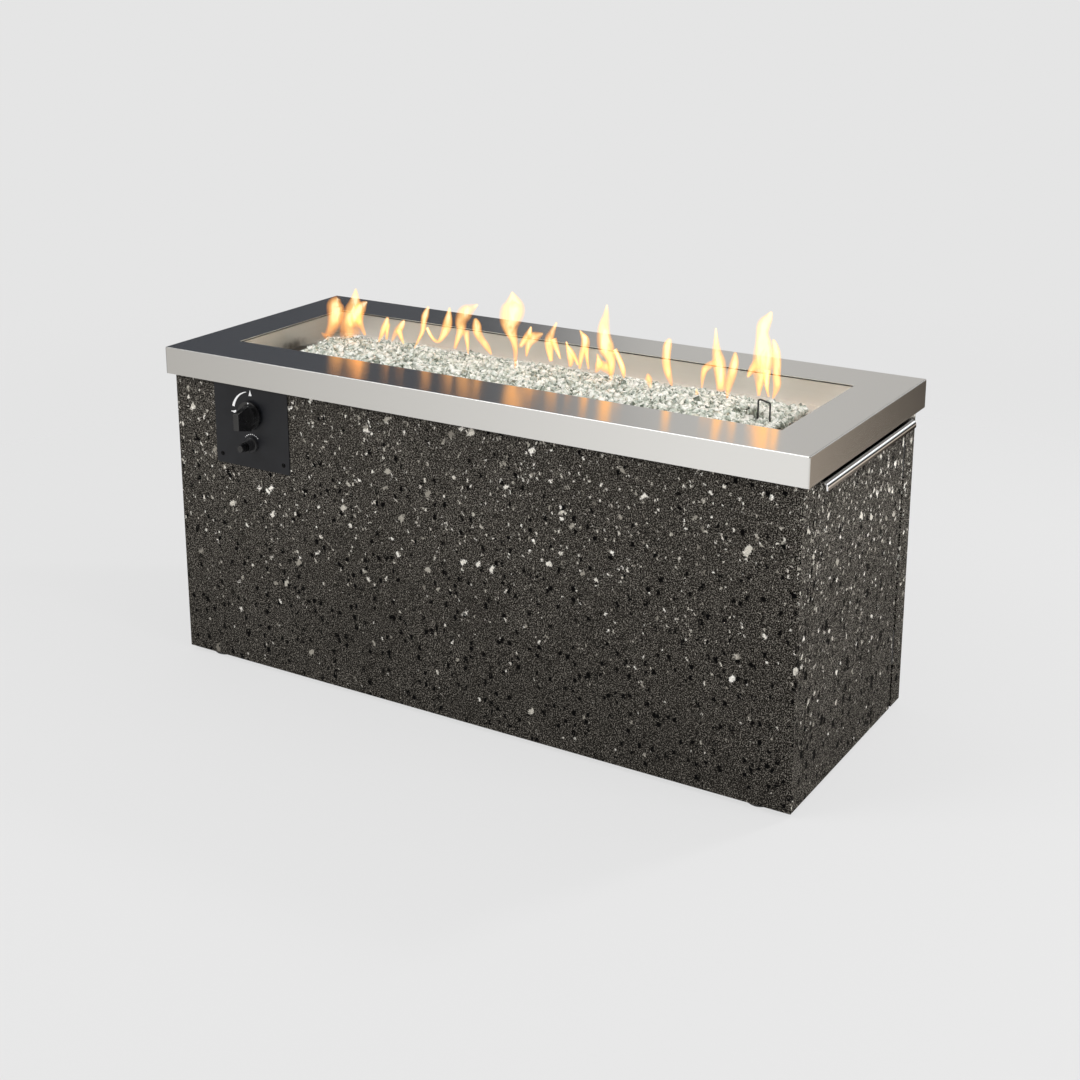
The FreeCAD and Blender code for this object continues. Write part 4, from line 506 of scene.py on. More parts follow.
def coated(name, colour, rough, fineness, dust, coat=0.0, shine=0.5):
    """Powder coat, plastic, rubber and paint: one colour with pebbling, mottle and dust."""
    material, tree, shader = finish_material(name)
    pebbling = tree.group("Pebbling", Fineness=fineness)
    lighter = tuple(min(1, c * 1.25 + 0.004) for c in colour)
    tone = tree.mix(tree.spread(pebbling["Mottle"], 0.35, 0.65, 0, 1), (*colour, 1), (*lighter, 1))
    powder = tree.group("Dust", Amount=dust)["Mask"]
    tree.feed(shader, "Base Color", tree.mix(powder, tone, (0.30, 0.28, 0.25, 1)))
    tree.feed(shader, "Roughness", tree.spread(pebbling["Mottle"], 0.3, 0.7, rough - 0.05, rough + 0.08))
    tree.feed(shader, "Normal", tree.bump(pebbling["Height"], 0.00005, 0.35))
    shader.inputs["Specular IOR Level"].default_value = shine
    shader.inputs["Coat Weight"].default_value = coat
    shader.inputs["Coat Roughness"].default_value = 0.12
    return material


def chrome():
    """Polished metal with faint rubbing along X."""
    material, tree, shader = finish_material("chrome")
    rub = tree.noise(tree.vector("MULTIPLY", tree.place(), (0.05, 1, 1)), 420.0, 3.0)
    tree.feed(shader, "Base Color", tree.mix(rub, (0.70, 0.71, 0.73, 1), (0.86, 0.86, 0.87, 1)))
    tree.feed(shader, "Roughness", tree.spread(rub, 0.3, 0.7, 0.05, 0.09))
    shader.inputs["Metallic"].default_value = 1.0
    return material


def brass():
    """Plain brass, browner and duller in places."""
    material, tree, shader = finish_material("brass")
    blotch = tree.noise(tree.place(), 90.0, 5.0, 0.65)
    metal = tree.ramp(blotch, (0.3, (0.42, 0.28, 0.11)), (0.6, (0.72, 0.53, 0.24)), (0.8, (0.82, 0.66, 0.36)))
    tree.feed(shader, "Base Color", metal)
    tree.feed(shader, "Roughness", tree.spread(blotch, 0.3, 0.7, 0.42, 0.24))
    shader.inputs["Metallic"].default_value = 1.0
    return material


def ceramic():
    """Pale glaze with some soot."""
    material, tree, shader = finish_material("ceramic")
    soot = tree.step(tree.noise(tree.place(), 160.0, 4.0), 0.5, 0.75)
    tree.feed(shader, "Base Color", tree.mix(soot, (0.86, 0.84, 0.78, 1), (0.46, 0.43, 0.38, 1)))
    tree.feed(shader, "Roughness", tree.spread(soot, 0, 1, 0.22, 0.6))
    return material


def fire_glass():
    """Broken glass, from water white to pale green, with painted highlights and painted shade by turns across
    each piece.
    """
    material, tree, shader = finish_material("fire_glass")
    coords = tree.place()
    face = tree.add("Attribute", attribute_name="face_glint_shade").outputs["Fac"]
    corner = tree.add("Attribute", attribute_name="corner_glint_shade").outputs["Fac"]
    tone = tree.scaled_sum(face, 0.24, tree.noise(coords, 420.0, 3.0, 0.6), 0.45)
    tone = tree.math("MULTIPLY_ADD", corner, 0.60, tone)
    # Painted highlights and painted shade: the tone runs from dark grey-green to near white.
    colour = tree.ramp(
        tone,
        (0.33, (0.09, 0.11, 0.08)),
        (0.47, (0.33, 0.37, 0.31)),
        (0.62, (0.66, 0.70, 0.61)),
        (0.79, (1.0, 0.99, 0.92)),
    )
    tree.feed(shader, "Base Color", colour)
    tree.feed(shader, "Roughness", tree.spread(tree.noise(coords, 420.0, 2.0), 0.35, 0.65, 0.02, 0.10))
    shader.inputs["IOR"].default_value = 1.5
    shader.inputs["Transmission Weight"].default_value = 0.15
    shader.inputs["Specular IOR Level"].default_value = 1.0
    return material


def glass_bed():
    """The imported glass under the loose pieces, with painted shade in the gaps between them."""
    material, tree, shader = finish_material("glass_bed")
    distance, tint = tree.cells(tree.place(), 90.0)
    _, tone, _ = tree.split_colour(tint)
    pale = tree.ramp(tone, (0.0, (0.55, 0.60, 0.57)), (0.5, (0.80, 0.83, 0.80)), (1.0, (0.95, 0.95, 0.92)))
    # Painted shade: the cells darken towards their edges, where the pieces meet.
    tree.feed(shader, "Base Color", tree.mix(tree.step(distance, 0.5, 0.85), pale, (0.25, 0.26, 0.24, 1)))
    tree.feed(shader, "Normal", tree.bump(tree.math("MULTIPLY", distance, -1.0), 0.004, 0.9))
    shader.inputs["Roughness"].default_value = 0.22
    return material


def wedge_between(tree, x, z, tip, base, half):
    """A mask for a small triangle whose tip is up."""
    inside = tree.math("MULTIPLY", tree.math("SUBTRACT", tip, z), half / (tip - base))
    wide = tree.math("LESS_THAN", tree.math("ABSOLUTE", x), inside)
    return tree.math("MULTIPLY", wide, tree.math("GREATER_THAN", z, base))


def control_plate():
    """Black powder coat with the plain white marks round the knob."""
    material = coated("control_plate_coat", (0.007, 0.0075, 0.0095), 0.36, 1500.0, 0.05, 0.0, 0.32)
    tree, shader = open_finish(material)
    along, _, up = tree.split(tree.place())
    x = tree.math("SUBTRACT", along, CONTROL_X)
    z = tree.math("SUBTRACT", up, KNOB_Z)
    angle = tree.math("ARCTAN2", z, x)
    start = math.radians(102)
    end = math.radians(166)
    thick = tree.spread(angle, start, end, 0.0005, 0.0028)
    sweep = tree.near(tree.radius(x, z), SWEEP_RADIUS, thick)
    sweep = tree.math("MULTIPLY", sweep, tree.within(angle, start, end))
    upper = wedge_between(tree, x, z, UPPER_TIP, WEDGE_FOOT, WEDGE_HALF)
    left = wedge_between(tree, z, tree.math("MULTIPLY", x, -1.0), LEFT_TIP, WEDGE_FOOT, WEDGE_HALF)
    low_z = tree.math("SUBTRACT", up, IGNITER_Z)
    low_angle = tree.math("ARCTAN2", low_z, x)
    dashes = tree.math("GREATER_THAN", tree.math("SINE", tree.math("MULTIPLY", low_angle, 26.0)), -0.2)
    arc = tree.math("MULTIPLY", tree.near(tree.radius(x, low_z), DASH_RADIUS, DASH_HALF), dashes)
    arc = tree.math("MULTIPLY", arc, tree.within(low_angle, math.radians(38), math.radians(142)))
    marks = tree.math("MAXIMUM", sweep, upper)
    marks = tree.math("MAXIMUM", marks, left)
    marks = tree.math("MAXIMUM", marks, arc)
    tree.feed(shader, "Base Color", tree.mix(marks, colour_so_far(shader), (0.82, 0.82, 0.82, 1)))
    return material


def knob_plastic():
    """Satin black with a white dot on the skirt."""
    material = coated("knob_plastic", (0.003, 0.003, 0.0035), 0.24, 1500.0, 0.0, 0.40)
    tree, shader = open_finish(material)
    along, _, up = tree.split(tree.place())
    x = tree.math("SUBTRACT", along, CONTROL_X)
    z = tree.math("SUBTRACT", up, KNOB_Z + DOT_RISE)
    dot = tree.math("LESS_THAN", tree.radius(x, z), DOT_RADIUS)
    tree.feed(shader, "Base Color", tree.mix(dot, colour_so_far(shader), (0.9, 0.9, 0.9, 1)))
    return material


def make_finishes():
    make_brushing()
    make_pebbling()
    make_dust()
    return {
        "top_steel": brushed_steel("top_steel", (0.72, 0.715, 0.70), 0.21, 3200.0, 0.035, 0.8),
        "pan_steel": pan_steel(),
        "zinc_steel": plated_steel("zinc_steel", (0.55, 0.56, 0.58), 0.38),
        "cast_stone": cast_stone(),
        "black_metal": coated("black_metal", (0.014, 0.014, 0.015), 0.40, 1500.0, 0.12),
        "black_screws": coated("black_screws", (0.001, 0.001, 0.0011), 0.16, 1500.0, 0.0, 0.0, 0.08),
        "black_plastic": coated("black_plastic", (0.012, 0.012, 0.013), 0.36, 1300.0, 0.05),
        "rubber": coated("rubber", (0.018, 0.018, 0.019), 0.62, 900.0, 0.25),
        "lead_sleeve": coated("lead_sleeve", (0.62, 0.58, 0.50), 0.6, 1800.0, 0.1),
        "cylinder_paint": coated("cylinder_paint", (0.66, 0.66, 0.64), 0.30, 700.0, 0.25, 0.4),
        "grey_metal": coated("grey_metal", (0.26, 0.27, 0.28), 0.45, 900.0, 0.2),
        "cell_wrap": coated("cell_wrap", (0.05, 0.09, 0.18), 0.3, 900.0, 0.0, 0.5),
        "chrome": chrome(),
        "brass": brass(),
        "ceramic": ceramic(),
        "glass": fire_glass(),
        "glass_bed": glass_bed(),
        "control_plate": control_plate(),
        "knob": knob_plastic(),
    }


def dress_nodes(finishes):
    """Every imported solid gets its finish."""
    own = {
        "control_plate": "control_plate",
        "knob": "knob",
        "igniter_button": "knob",
        "control_screws": "black_screws",
        "igniter_ring": "black_screws",
    }
    for name, node in NODES.items():
        node.data.materials.clear()
        node.data.materials.append(finishes[own.get(name, SLOT_OF[name])])


# The heap of fire glass.


def heap_table():
    """The heap's form as packed: places along and across it, and the rise at each crossing."""
    count = round((RIDGE_END - RIDGE_START) / RIDGE_STEP)
    rows = [(GLASS_LEFT, 0, 0.5), (GLASS_LEFT + 0.030, 0.6, 1)]
    rows += [(RIDGE_START + (RIDGE_END - RIDGE_START) * step / count, 1, 1) for step in range(count + 1)]
    rows += [(RIDGE_FOOT, 0, 1), (GLASS_RIGHT - 0.015, 0, 1), (GLASS_RIGHT, 0, 0.5)]
    ridge = ((-0.060, 0.83), (-0.022, 0.98), (0.012, 1.0), (0.050, 0.76))
    crown = RIDGE_Z - PAN_FLOOR
    across = [GLASS_FRONT] + [y for y, _ in ridge] + [GLASS_BACK]
    rises = []
    for number, (_, share, depth) in enumerate(rows):
        line = [GLASS_BED]
        for step, (_, part) in enumerate(ridge):
            full_rise = part * crown + GLASS_LUMP * math.sin(1.7 * number + 2.3 * step)
            line.append(GLASS_BED + (full_rise - GLASS_BED) * share)
        line.append(GLASS_BED * GLASS_BACK_SHARE)
        rises.append([rise * depth for rise in line])
    return [row[0] for row in rows], across, np.array(rises)


HEAP = heap_table()


def heap_height(x, y):
    """The heap's upper surface over the pan's floor; none outside its edges."""
    along, across, rises = HEAP
    if not (along[0] < x < along[-1] and across[0] < y < across[-1]):
        return 0.0
    line = [np.interp(x, along, rises[:, n]) for n in range(len(across))]
    return float(np.interp(y, across, line))


def select_only(piece):
    bpy.ops.object.select_all(action="DESELECT")
    piece.select_set(True)
    bpy.context.view_layer.objects.active = piece


def settle(piece):
    """Puts the piece's place, turn and scale into its mesh."""
    select_only(piece)
    bpy.ops.object.transform_apply(location=True, rotation=True, scale=True)


def make_shards(count):
    """A few broken-glass shapes: a lump cut by planes into flat facets."""
    shards = []
    for _ in range(count):
        bpy.ops.object.select_all(action="DESELECT")
        bpy.ops.mesh.primitive_cube_add(size=1)
        lump = bpy.context.object
        bpy.ops.object.mode_set(mode="EDIT")
        for _ in range(5):
            direction = Vector([chance.uniform(-1, 1) for _ in range(3)]).normalized()
            bpy.ops.mesh.select_all(action="SELECT")
            on_plane = direction * chance.uniform(0.30, 0.46)
            bpy.ops.mesh.bisect(plane_co=on_plane, plane_no=direction, use_fill=True, clear_outer=True)
        bpy.ops.mesh.select_all(action="SELECT")
        bpy.ops.mesh.quads_convert_to_tris()
        bpy.ops.mesh.normals_make_consistent(inside=False)
        bpy.ops.object.mode_set(mode="OBJECT")
        points = np.array([v.co for v in lump.data.vertices])
        faces = np.array([tuple(p.vertices) for p in lump.data.polygons])
        shards.append((points - points.mean(axis=0), faces))
        bpy.data.objects.remove(lump)
    return shards


def scatter_glass(name, shards, spots):
    """One mesh of many shards, each turned and sized in its own way."""
    points = []
    faces = []
    total = 0  # points so far, since each shard's faces count on from there
    for x, y, z, size in spots:
        shape, sides = shards[chance.randrange(len(shards))]
        turn = Euler([chance.uniform(0, math.tau) for _ in range(3)]).to_matrix()
        stretch = Matrix.Diagonal([size * chance.uniform(0.75, 1.25) for _ in range(3)])
        matrix = np.array(turn @ stretch)
        points.append(shape @ matrix.T + np.array((x, y, z)))
        faces.append(sides + total)
        total += len(shape)
    points = np.concatenate(points)
    faces = np.concatenate(faces)
    mesh = bpy.data.meshes.new(name)
    mesh.from_pydata(points.tolist(), [], faces.tolist())
    mesh.update()
    # Random tones per face and per point, which the glass finish turns into painted highlights and painted
    # shade.
    tones = mesh.attributes.new("face_glint_shade", "FLOAT", "FACE")
    tones.data.foreach_set("value", [chance.random() for _ in mesh.polygons])
    mesh.polygons.foreach_set("use_smooth", [True] * len(mesh.polygons))
    corners = mesh.attributes.new("corner_glint_shade", "FLOAT", "POINT")
    corners.data.foreach_set("value", [glints.random() for _ in mesh.vertices])
    piece = bpy.data.objects.new(name, mesh)
    bpy.context.collection.objects.link(piece)
    return piece


def over_burner(x, y):
    """How high a piece of glass has to lie here to rest on the burner, or 0 beside it."""
    reach = BURNER_RADIUS + BURNER_ROOM
    if not (BURNER_LEFT < x < BURNER_RIGHT and abs(y) < reach):
        return 0.0
    return BURNER_AXIS_Z + math.sqrt(reach**2 - y**2)


def near_electrode(x, y):
    """Whether a piece of glass here would be inside the electrode or its guard."""
    at_electrode = math.hypot(x - ELECTRODE[0], y - ELECTRODE[1]) < ELECTRODE_ROOM
    to_leg = min(abs(x - leg) for leg in GUARD_LEGS_X)
    return at_electrode or (abs(y - GUARD_Y) < GUARD_ROOM_Y and to_leg < GUARD_ROOM_X)


def glass_spots(pitch, sink, low, high, on_top):
    """Where loose pieces lie, sunk a little under the heap's surface, and how large each is."""
    spots = []
    for x in np.arange(GLASS_LEFT + 0.004, GLASS_RIGHT - 0.003, pitch):
        for y in np.arange(GLASS_FRONT + 0.004, GLASS_BACK - 0.003, pitch):
            px = x + chance.uniform(-SCATTER, SCATTER) * pitch
            py = y + chance.uniform(-SCATTER, SCATTER) * pitch
            rise = heap_height(px, py)
            if rise < THINNEST or near_electrode(px, py):
                continue
            z = PAN_FLOOR + max(rise - sink, LOWEST) + chance.uniform(-SHAKE, SHAKE)
            floor = over_burner(px, py)
            if z < floor and on_top:
                z = floor
            if z >= floor:
                spots.append((px, py, z, chance.uniform(low, high)))
    return spots


def make_glass_heap(finishes):
    """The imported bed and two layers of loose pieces, in place of the heap's solid."""
    bpy.ops.object.select_all(action="DESELECT")
    bpy.ops.mesh.primitive_grid_add(x_subdivisions=160, y_subdivisions=40, size=1, location=BED_PLACE)
    bed = bpy.context.object
    bed.name = "glass_bed"
    bed.scale = BED_SIZE
    settle(bed)
    for vertex in bed.data.vertices:
        rise = heap_height(vertex.co.x, vertex.co.y)
        vertex.co.z = PAN_FLOOR + BED_LIFT + max(rise - BED_SINK, 0.0)
    bed.data.materials.append(finishes["glass_bed"])
    shards = make_shards(12)
    loose = scatter_glass("fire_glass_top", shards, glass_spots(0.0080, 0.0040, 0.0085, 0.0140, True))
    deep = scatter_glass("fire_glass_deep", shards, glass_spots(0.0090, 0.0080, 0.0090, 0.0130, False))
    for piece in (loose, deep):
        piece.data.materials.append(finishes["glass"])
    for piece in (bed, loose, deep):
        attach(piece, "table")
        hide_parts("fire_glass")


# The flames, for the picture only.

FLAME_FULLNESS = 1.25
# Each tongue: its places from root to tip along X and up, with the half width there.
FLAMES = (
    (
        (-0.449, 0.575, 0.0068), (-0.437, 0.594, 0.0084), (-0.429, 0.611, 0.0118),
        (-0.427, 0.630, 0.0141), (-0.429, 0.646, 0.0128), (-0.419, 0.656, 0.0034),
    ),
    (
        (-0.447, 0.577, 0.0047), (-0.457, 0.578, 0.0041), (-0.463, 0.583, 0.0010),
    ),
    (
        (-0.393, 0.585, 0.0166), (-0.397, 0.602, 0.0150), (-0.387, 0.622, 0.0183),
        (-0.383, 0.639, 0.0149), (-0.380, 0.655, 0.0083), (-0.378, 0.677, 0.0013),
    ),
    (
        (-0.389, 0.613, 0.0100), (-0.372, 0.637, 0.0116), (-0.360, 0.651, 0.0066),
        (-0.351, 0.656, 0.0010),
    ),
    (
        (-0.359, 0.592, 0.0017), (-0.367, 0.606, 0.0050), (-0.375, 0.624, 0.0066),
    ),
    (
        (-0.327, 0.584, 0.0016), (-0.319, 0.600, 0.0039), (-0.310, 0.616, 0.0072),
        (-0.305, 0.633, 0.0020),
    ),
    (
        (-0.310, 0.590, 0.0016), (-0.309, 0.604, 0.0033), (-0.306, 0.620, 0.0039),
    ),
    (
        (-0.303, 0.586, 0.0013), (-0.295, 0.603, 0.0045), (-0.281, 0.617, 0.0071),
        (-0.274, 0.630, 0.0013),
    ),
    (
        (-0.272, 0.587, 0.0013), (-0.278, 0.599, 0.0039), (-0.283, 0.612, 0.0052),
    ),
    (
        (-0.248, 0.582, 0.0010), (-0.237, 0.601, 0.0026), (-0.228, 0.618, 0.0038),
        (-0.226, 0.636, 0.0051), (-0.222, 0.649, 0.0063), (-0.215, 0.663, 0.0016),
    ),
    (
        (-0.226, 0.621, 0.0025), (-0.217, 0.604, 0.0025), (-0.203, 0.596, 0.0025),
        (-0.193, 0.607, 0.0044), (-0.184, 0.623, 0.0075), (-0.179, 0.642, 0.0075),
        (-0.176, 0.664, 0.0013),
    ),
    (
        (-0.163, 0.592, 0.0025), (-0.157, 0.611, 0.0037), (-0.148, 0.628, 0.0075),
        (-0.150, 0.643, 0.0093), (-0.141, 0.660, 0.0124), (-0.127, 0.669, 0.0077),
        (-0.113, 0.678, 0.0012),
    ),
    (
        (-0.137, 0.584, 0.0009), (-0.138, 0.605, 0.0031), (-0.141, 0.626, 0.0056),
    ),
    (
        (-0.085, 0.591, 0.0012), (-0.092, 0.602, 0.0049), (-0.106, 0.615, 0.0055),
        (-0.115, 0.629, 0.0074), (-0.116, 0.644, 0.0074), (-0.119, 0.652, 0.0025),
    ),
    (
        (-0.033, 0.574, 0.0012), (-0.032, 0.598, 0.0036), (-0.034, 0.622, 0.0048),
        (-0.043, 0.642, 0.0105), (-0.043, 0.660, 0.0174), (-0.036, 0.682, 0.0186),
        (-0.036, 0.697, 0.0108), (-0.039, 0.710, 0.0012),
    ),
    (
        (-0.012, 0.598, 0.0012), (-0.010, 0.616, 0.0042), (-0.001, 0.631, 0.0089),
        (0.009, 0.637, 0.0077), (0.022, 0.643, 0.0012),
    ),
    (
        (-0.024, 0.614, 0.0030), (-0.008, 0.634, 0.0066), (-0.003, 0.645, 0.0042),
        (-0.001, 0.653, 0.0012),
    ),
    (
        (0.036, 0.595, 0.0029), (0.033, 0.613, 0.0059), (0.031, 0.633, 0.0074),
        (0.039, 0.649, 0.0044), (0.047, 0.665, 0.0012),
    ),
    (
        (0.053, 0.601, 0.0012), (0.046, 0.618, 0.0041), (0.038, 0.634, 0.0059),
    ),
    (
        (0.073, 0.590, 0.0023), (0.076, 0.604, 0.0064), (0.070, 0.618, 0.0041),
        (0.065, 0.633, 0.0012),
    ),
    (
        (0.092, 0.597, 0.0017), (0.085, 0.614, 0.0046), (0.073, 0.624, 0.0035),
    ),
    (
        (0.098, 0.592, 0.0017), (0.100, 0.613, 0.0040), (0.108, 0.629, 0.0063),
        (0.110, 0.644, 0.0069), (0.103, 0.653, 0.0035), (0.098, 0.659, 0.0009),
    ),
    (
        (0.114, 0.593, 0.0012), (0.110, 0.611, 0.0029), (0.109, 0.629, 0.0040),
    ),
    (
        (0.126, 0.588, 0.0017), (0.134, 0.601, 0.0072), (0.132, 0.613, 0.0034),
        (0.129, 0.621, 0.0009),
    ),
    (
        (0.158, 0.589, 0.0023), (0.151, 0.599, 0.0080), (0.141, 0.604, 0.0071),
        (0.133, 0.609, 0.0029),
    ),
    (
        (0.158, 0.578, 0.0014), (0.159, 0.598, 0.0057), (0.158, 0.618, 0.0068),
        (0.148, 0.634, 0.0128), (0.143, 0.654, 0.0103), (0.143, 0.672, 0.0085),
        (0.148, 0.693, 0.0046), (0.149, 0.709, 0.0011),
    ),
    (
        (0.181, 0.586, 0.0014), (0.180, 0.598, 0.0045), (0.172, 0.617, 0.0040),
        (0.162, 0.633, 0.0040),
    ),
    (
        (0.234, 0.576, 0.0011), (0.231, 0.587, 0.0056), (0.229, 0.596, 0.0045),
        (0.228, 0.601, 0.0011),
    ),
    (
        (0.273, 0.586, 0.0014), (0.267, 0.601, 0.0055), (0.261, 0.621, 0.0061),
        (0.261, 0.641, 0.0066), (0.264, 0.659, 0.0066), (0.268, 0.666, 0.0022),
    ),
    (
        (0.319, 0.574, 0.0032), (0.318, 0.581, 0.0027), (0.317, 0.587, 0.0008),
    ),
    (
        (0.327, 0.590, 0.0011), (0.328, 0.613, 0.0038), (0.334, 0.628, 0.0059),
        (0.350, 0.637, 0.0043),
    ),
    (
        (0.362, 0.591, 0.0059), (0.361, 0.617, 0.0085), (0.357, 0.640, 0.0101),
        (0.352, 0.656, 0.0067), (0.351, 0.676, 0.0032), (0.350, 0.694, 0.0011),
    ),
    (
        (0.373, 0.579, 0.0013), (0.374, 0.597, 0.0059), (0.380, 0.620, 0.0069),
        (0.385, 0.644, 0.0069), (0.385, 0.658, 0.0021),
    ),
    (
        (0.426, 0.590, 0.0021), (0.426, 0.610, 0.0052), (0.429, 0.627, 0.0125),
        (0.432, 0.650, 0.0151), (0.432, 0.673, 0.0130), (0.428, 0.692, 0.0083),
        (0.430, 0.709, 0.0099), (0.439, 0.721, 0.0065), (0.443, 0.731, 0.0016),
    ),
    (
        (0.408, 0.620, 0.0016), (0.414, 0.634, 0.0066), (0.426, 0.646, 0.0078),
    ),
    (
        (0.447, 0.593, 0.0010), (0.441, 0.612, 0.0031), (0.442, 0.635, 0.0065),
    ),
    (
        (0.455, 0.592, 0.0010), (0.463, 0.610, 0.0057), (0.460, 0.632, 0.0057),
        (0.460, 0.657, 0.0065), (0.457, 0.679, 0.0052), (0.452, 0.689, 0.0016),
    ),
)


def flame_glow():
    """Light that adds to what is behind it: orange where the flame is thin, yellow where it is thick."""
    material, tree = bare_material("flame_glow")
    rays = tree.add("LightPath")
    facing = tree.add("LayerWeight")
    facing.inputs["Blend"].default_value = 0.5
    core = tree.math("SUBTRACT", 1.0, facing.outputs["Facing"])
    coords = tree.place()
    _, _, height = tree.split(coords)
    licks = tree.noise(tree.vector("MULTIPLY", coords, (1.0, 1.0, 0.35)), 60.0, 2.0, 0.5, 0.6)
    roots = tree.step(height, 0.568, 0.615)
    thick = tree.math("MULTIPLY", tree.math("POWER", core, 1.9), tree.spread(licks, 0.32, 0.66, 0.50, 1.20))
    body = tree.math("MULTIPLY", thick, tree.math("MULTIPLY_ADD", roots, 0.75, 0.25), clamp=True)
    heat = tree.math("ADD", body, tree.spread(height, 0.60, 0.70, -0.08, 0.22))
    colour = tree.ramp(
        heat,
        (0.0, (1.0, 0.30, 0.05)),
        (0.35, (1.0, 0.43, 0.11)),
        (0.70, (1.0, 0.62, 0.25)),
        (1.0, (1.0, 0.84, 0.54)),
    )
    mirrored = rays.outputs["Is Glossy Ray"]
    light = tree.add("Emission")
    tree.feed(light, "Color", tree.mix(mirrored, colour, (1.0, 0.48, 0.16, 1)))
    tree.feed(light, "Strength", tree.math("MULTIPLY", body, tree.math("MULTIPLY_ADD", mirrored, -0.02, 0.92)))
    clear = tree.add("BsdfTransparent")
    tree.feed(clear, "Color", tree.mix(body, CLEAR, (0.86, 0.66, 0.42, 1)))
    both = tree.add("AddShader")
    tree.feed(both, 0, clear.outputs[0])
    tree.feed(both, 1, light.outputs[0])
    out = tree.add("OutputMaterial")
    tree.feed(out, "Surface", both.outputs[0])
    return material


def make_flames():
    """One smooth tube per tongue, swelling and thinning along its way."""
    glow = flame_glow()
    for number, tongue in enumerate(FLAMES):
        data = bpy.data.curves.new(f"flame_{number}", "CURVE")
        data.dimensions = "3D"
        data.bevel_depth = 1.0
        data.bevel_resolution = 6
        data.resolution_u = 10
        spline = data.splines.new("NURBS")
        spline.points.add(len(tongue) - 1)
        depth = chance.uniform(-0.006, 0.006)
        for point, (x, z, half) in zip(spline.points, tongue):
            point.co = (x, depth, z, 1)
            point.radius = half * FLAME_FULLNESS
        spline.order_u = 3
        spline.use_endpoint_u = True
        flame = bpy.data.objects.new(f"flame_{number}", data)
        bpy.context.collection.objects.link(flame)
        data.materials.append(glow)
        flame.visible_shadow = False


# Floor, backdrop and light.


def make_floor():
    """A pale floor that fades into the backdrop and keeps a faint shadow."""
    bpy.ops.object.select_all(action="DESELECT")
    bpy.ops.mesh.primitive_circle_add(vertices=96, radius=4.5, fill_type="NGON", location=(0, 0, 0))
    floor = bpy.context.object
    floor.name = "floor"
    material, tree = bare_material("floor")
    rays = tree.add("LightPath")
    edge = tree.step(tree.length(tree.place()), 1.2, 3.4)
    matt = tree.add("BsdfDiffuse")
    matt.inputs["Color"].default_value = FLOOR_GREY
    plain = tree.add("Emission")
    plain.inputs["Color"].default_value = BACKDROP
    seen = tree.math("MULTIPLY", rays.outputs["Is Camera Ray"], 0.82)
    shaded = tree.mixed(seen, matt.outputs[0], plain.outputs[0])
    clear = tree.add("BsdfTransparent")
    out = tree.add("OutputMaterial")
    tree.feed(out, "Surface", tree.mixed(edge, shaded, clear.outputs[0]))
    floor.data.materials.append(material)
    floor.visible_glossy = False


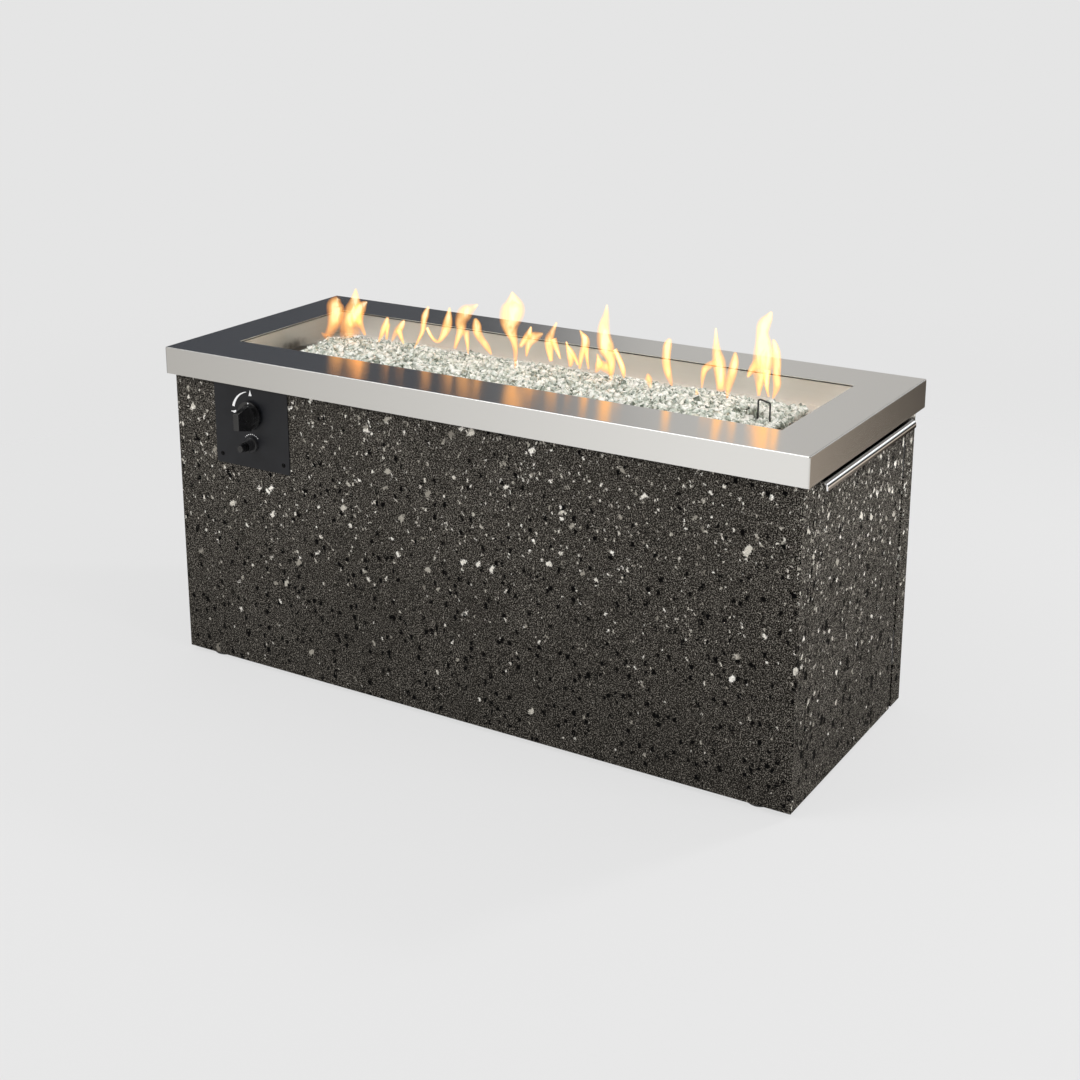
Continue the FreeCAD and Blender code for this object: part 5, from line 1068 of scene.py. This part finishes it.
def make_world():
    """Plain pale surroundings; what shines sees darker sides at the back and a bright box in front."""
    world = bpy.data.worlds.new("studio")
    bpy.context.scene.world = world
    world.use_nodes = True
    tree = Tree(world.node_tree)
    tree.nodes.clear()
    rays = tree.add("LightPath")
    east, north, up = tree.split(tree.add("TexCoord").outputs["Generated"])
    bearing = tree.math("ARCTAN2", tree.math("MULTIPLY", east, -1.0), north)
    share = tree.math("DIVIDE", bearing, math.pi)
    around = tree.ramp(
        tree.math("MULTIPLY_ADD", share, 0.5, 0.5),
        (0.0, (1.05, 1.04, 1.02)),
        (0.32, (0.80, 0.78, 0.75)),
        (0.430, (0.72, 0.61, 0.50)),
        (0.447, BLACK),
        (0.488, BLACK),
        (0.505, (0.48, 0.46, 0.44)),
        (0.578, (0.66, 0.645, 0.62)),
        (0.592, (0.075, 0.080, 0.092)),
        (0.66, (0.050, 0.055, 0.068)),
        (0.80, (0.25, 0.25, 0.25)),
        (0.875, (0.60, 0.58, 0.55)),
        (0.93, (1.05, 1.04, 1.02)),
    )
    overhead = tree.step(up, 0.62, 0.88)
    around = tree.mix(overhead, around, (1.15, 1.15, 1.15, 1))
    front_box = tree.math("MULTIPLY", tree.step(up, 0.66, 0.76), tree.step(north, -0.12, -0.22))
    around = tree.mix(front_box, around, (3.2, 3.2, 3.2, 1))
    bands = tree.ramp(
        up,
        (0.10, (0.03, 0.03, 0.03)),
        (0.16, (0.30, 0.30, 0.30)),
        (0.22, (1.0, 1.02, 1.04)),
        (0.35, (1.75, 1.77, 1.78)),
        (0.40, (0.05, 0.06, 0.06)),
        (0.47, (0.04, 0.045, 0.045)),
        (0.50, (1.0, 1.0, 1.0)),
    )
    above = tree.step(up, -0.10, -0.04)
    behind = tree.math("MULTIPLY", above, tree.step(share, 0.0, -0.05))
    around = tree.mix(behind, around, (0.30, 0.28, 0.25, 1))
    behind_end = tree.math("MULTIPLY", tree.step(share, -0.05, -0.08), tree.step(share, -0.20, -0.17))
    around = tree.mix(tree.math("MULTIPLY", above, behind_end), around, bands)
    below = tree.step(up, -0.55, -0.75)
    around = tree.mix(below, around, (0.60, 0.60, 0.59, 1))
    shine = tree.add("Background")
    tree.feed(shine, "Color", around)
    plain = tree.add("Background")
    plain.inputs["Color"].default_value = BACKDROP
    soft = tree.add("Background")
    soft.inputs["Color"].default_value = SOFT_GREY
    soft.inputs["Strength"].default_value = 0.80
    unseen = tree.mixed(rays.outputs["Is Glossy Ray"], soft.outputs[0], shine.outputs[0])
    out = tree.add("OutputWorld")
    tree.feed(out, "Surface", tree.mixed(rays.outputs["Is Camera Ray"], unseen, plain.outputs[0]))


def add_lamp(name, place, target, size, energy):
    """A square lamp that shines on its target and isn't mirrored in the steel."""
    data = bpy.data.lights.new(name, "AREA")
    data.shape = "RECTANGLE"
    data.size = data.size_y = size
    data.energy = energy
    lamp = bpy.data.objects.new(name, data)
    lamp.location = place
    lamp.rotation_euler = (Vector(target) - Vector(place)).to_track_quat("-Z", "Y").to_euler()
    lamp.visible_glossy = False
    bpy.context.collection.objects.link(lamp)


def make_light():
    add_lamp("key", (-2.2, -2.8, 2.6), (0, 0, 0.4), 2.2, 90)
    add_lamp("end_fill", (3.4, -0.2, 1.6), (0.5, 0, 0.3), 1.8, 60)
    add_lamp("back_spot", (1.5, 1.5, 2.3), (0, 0, 0.57), 0.3, 26)


make_camera()
bpy.context.scene.view_settings.view_transform = "Standard"
FINISHES = make_finishes()
dress_nodes(FINISHES)
make_glass_heap(FINISHES)
make_flames()
make_floor()
make_world()
make_light()
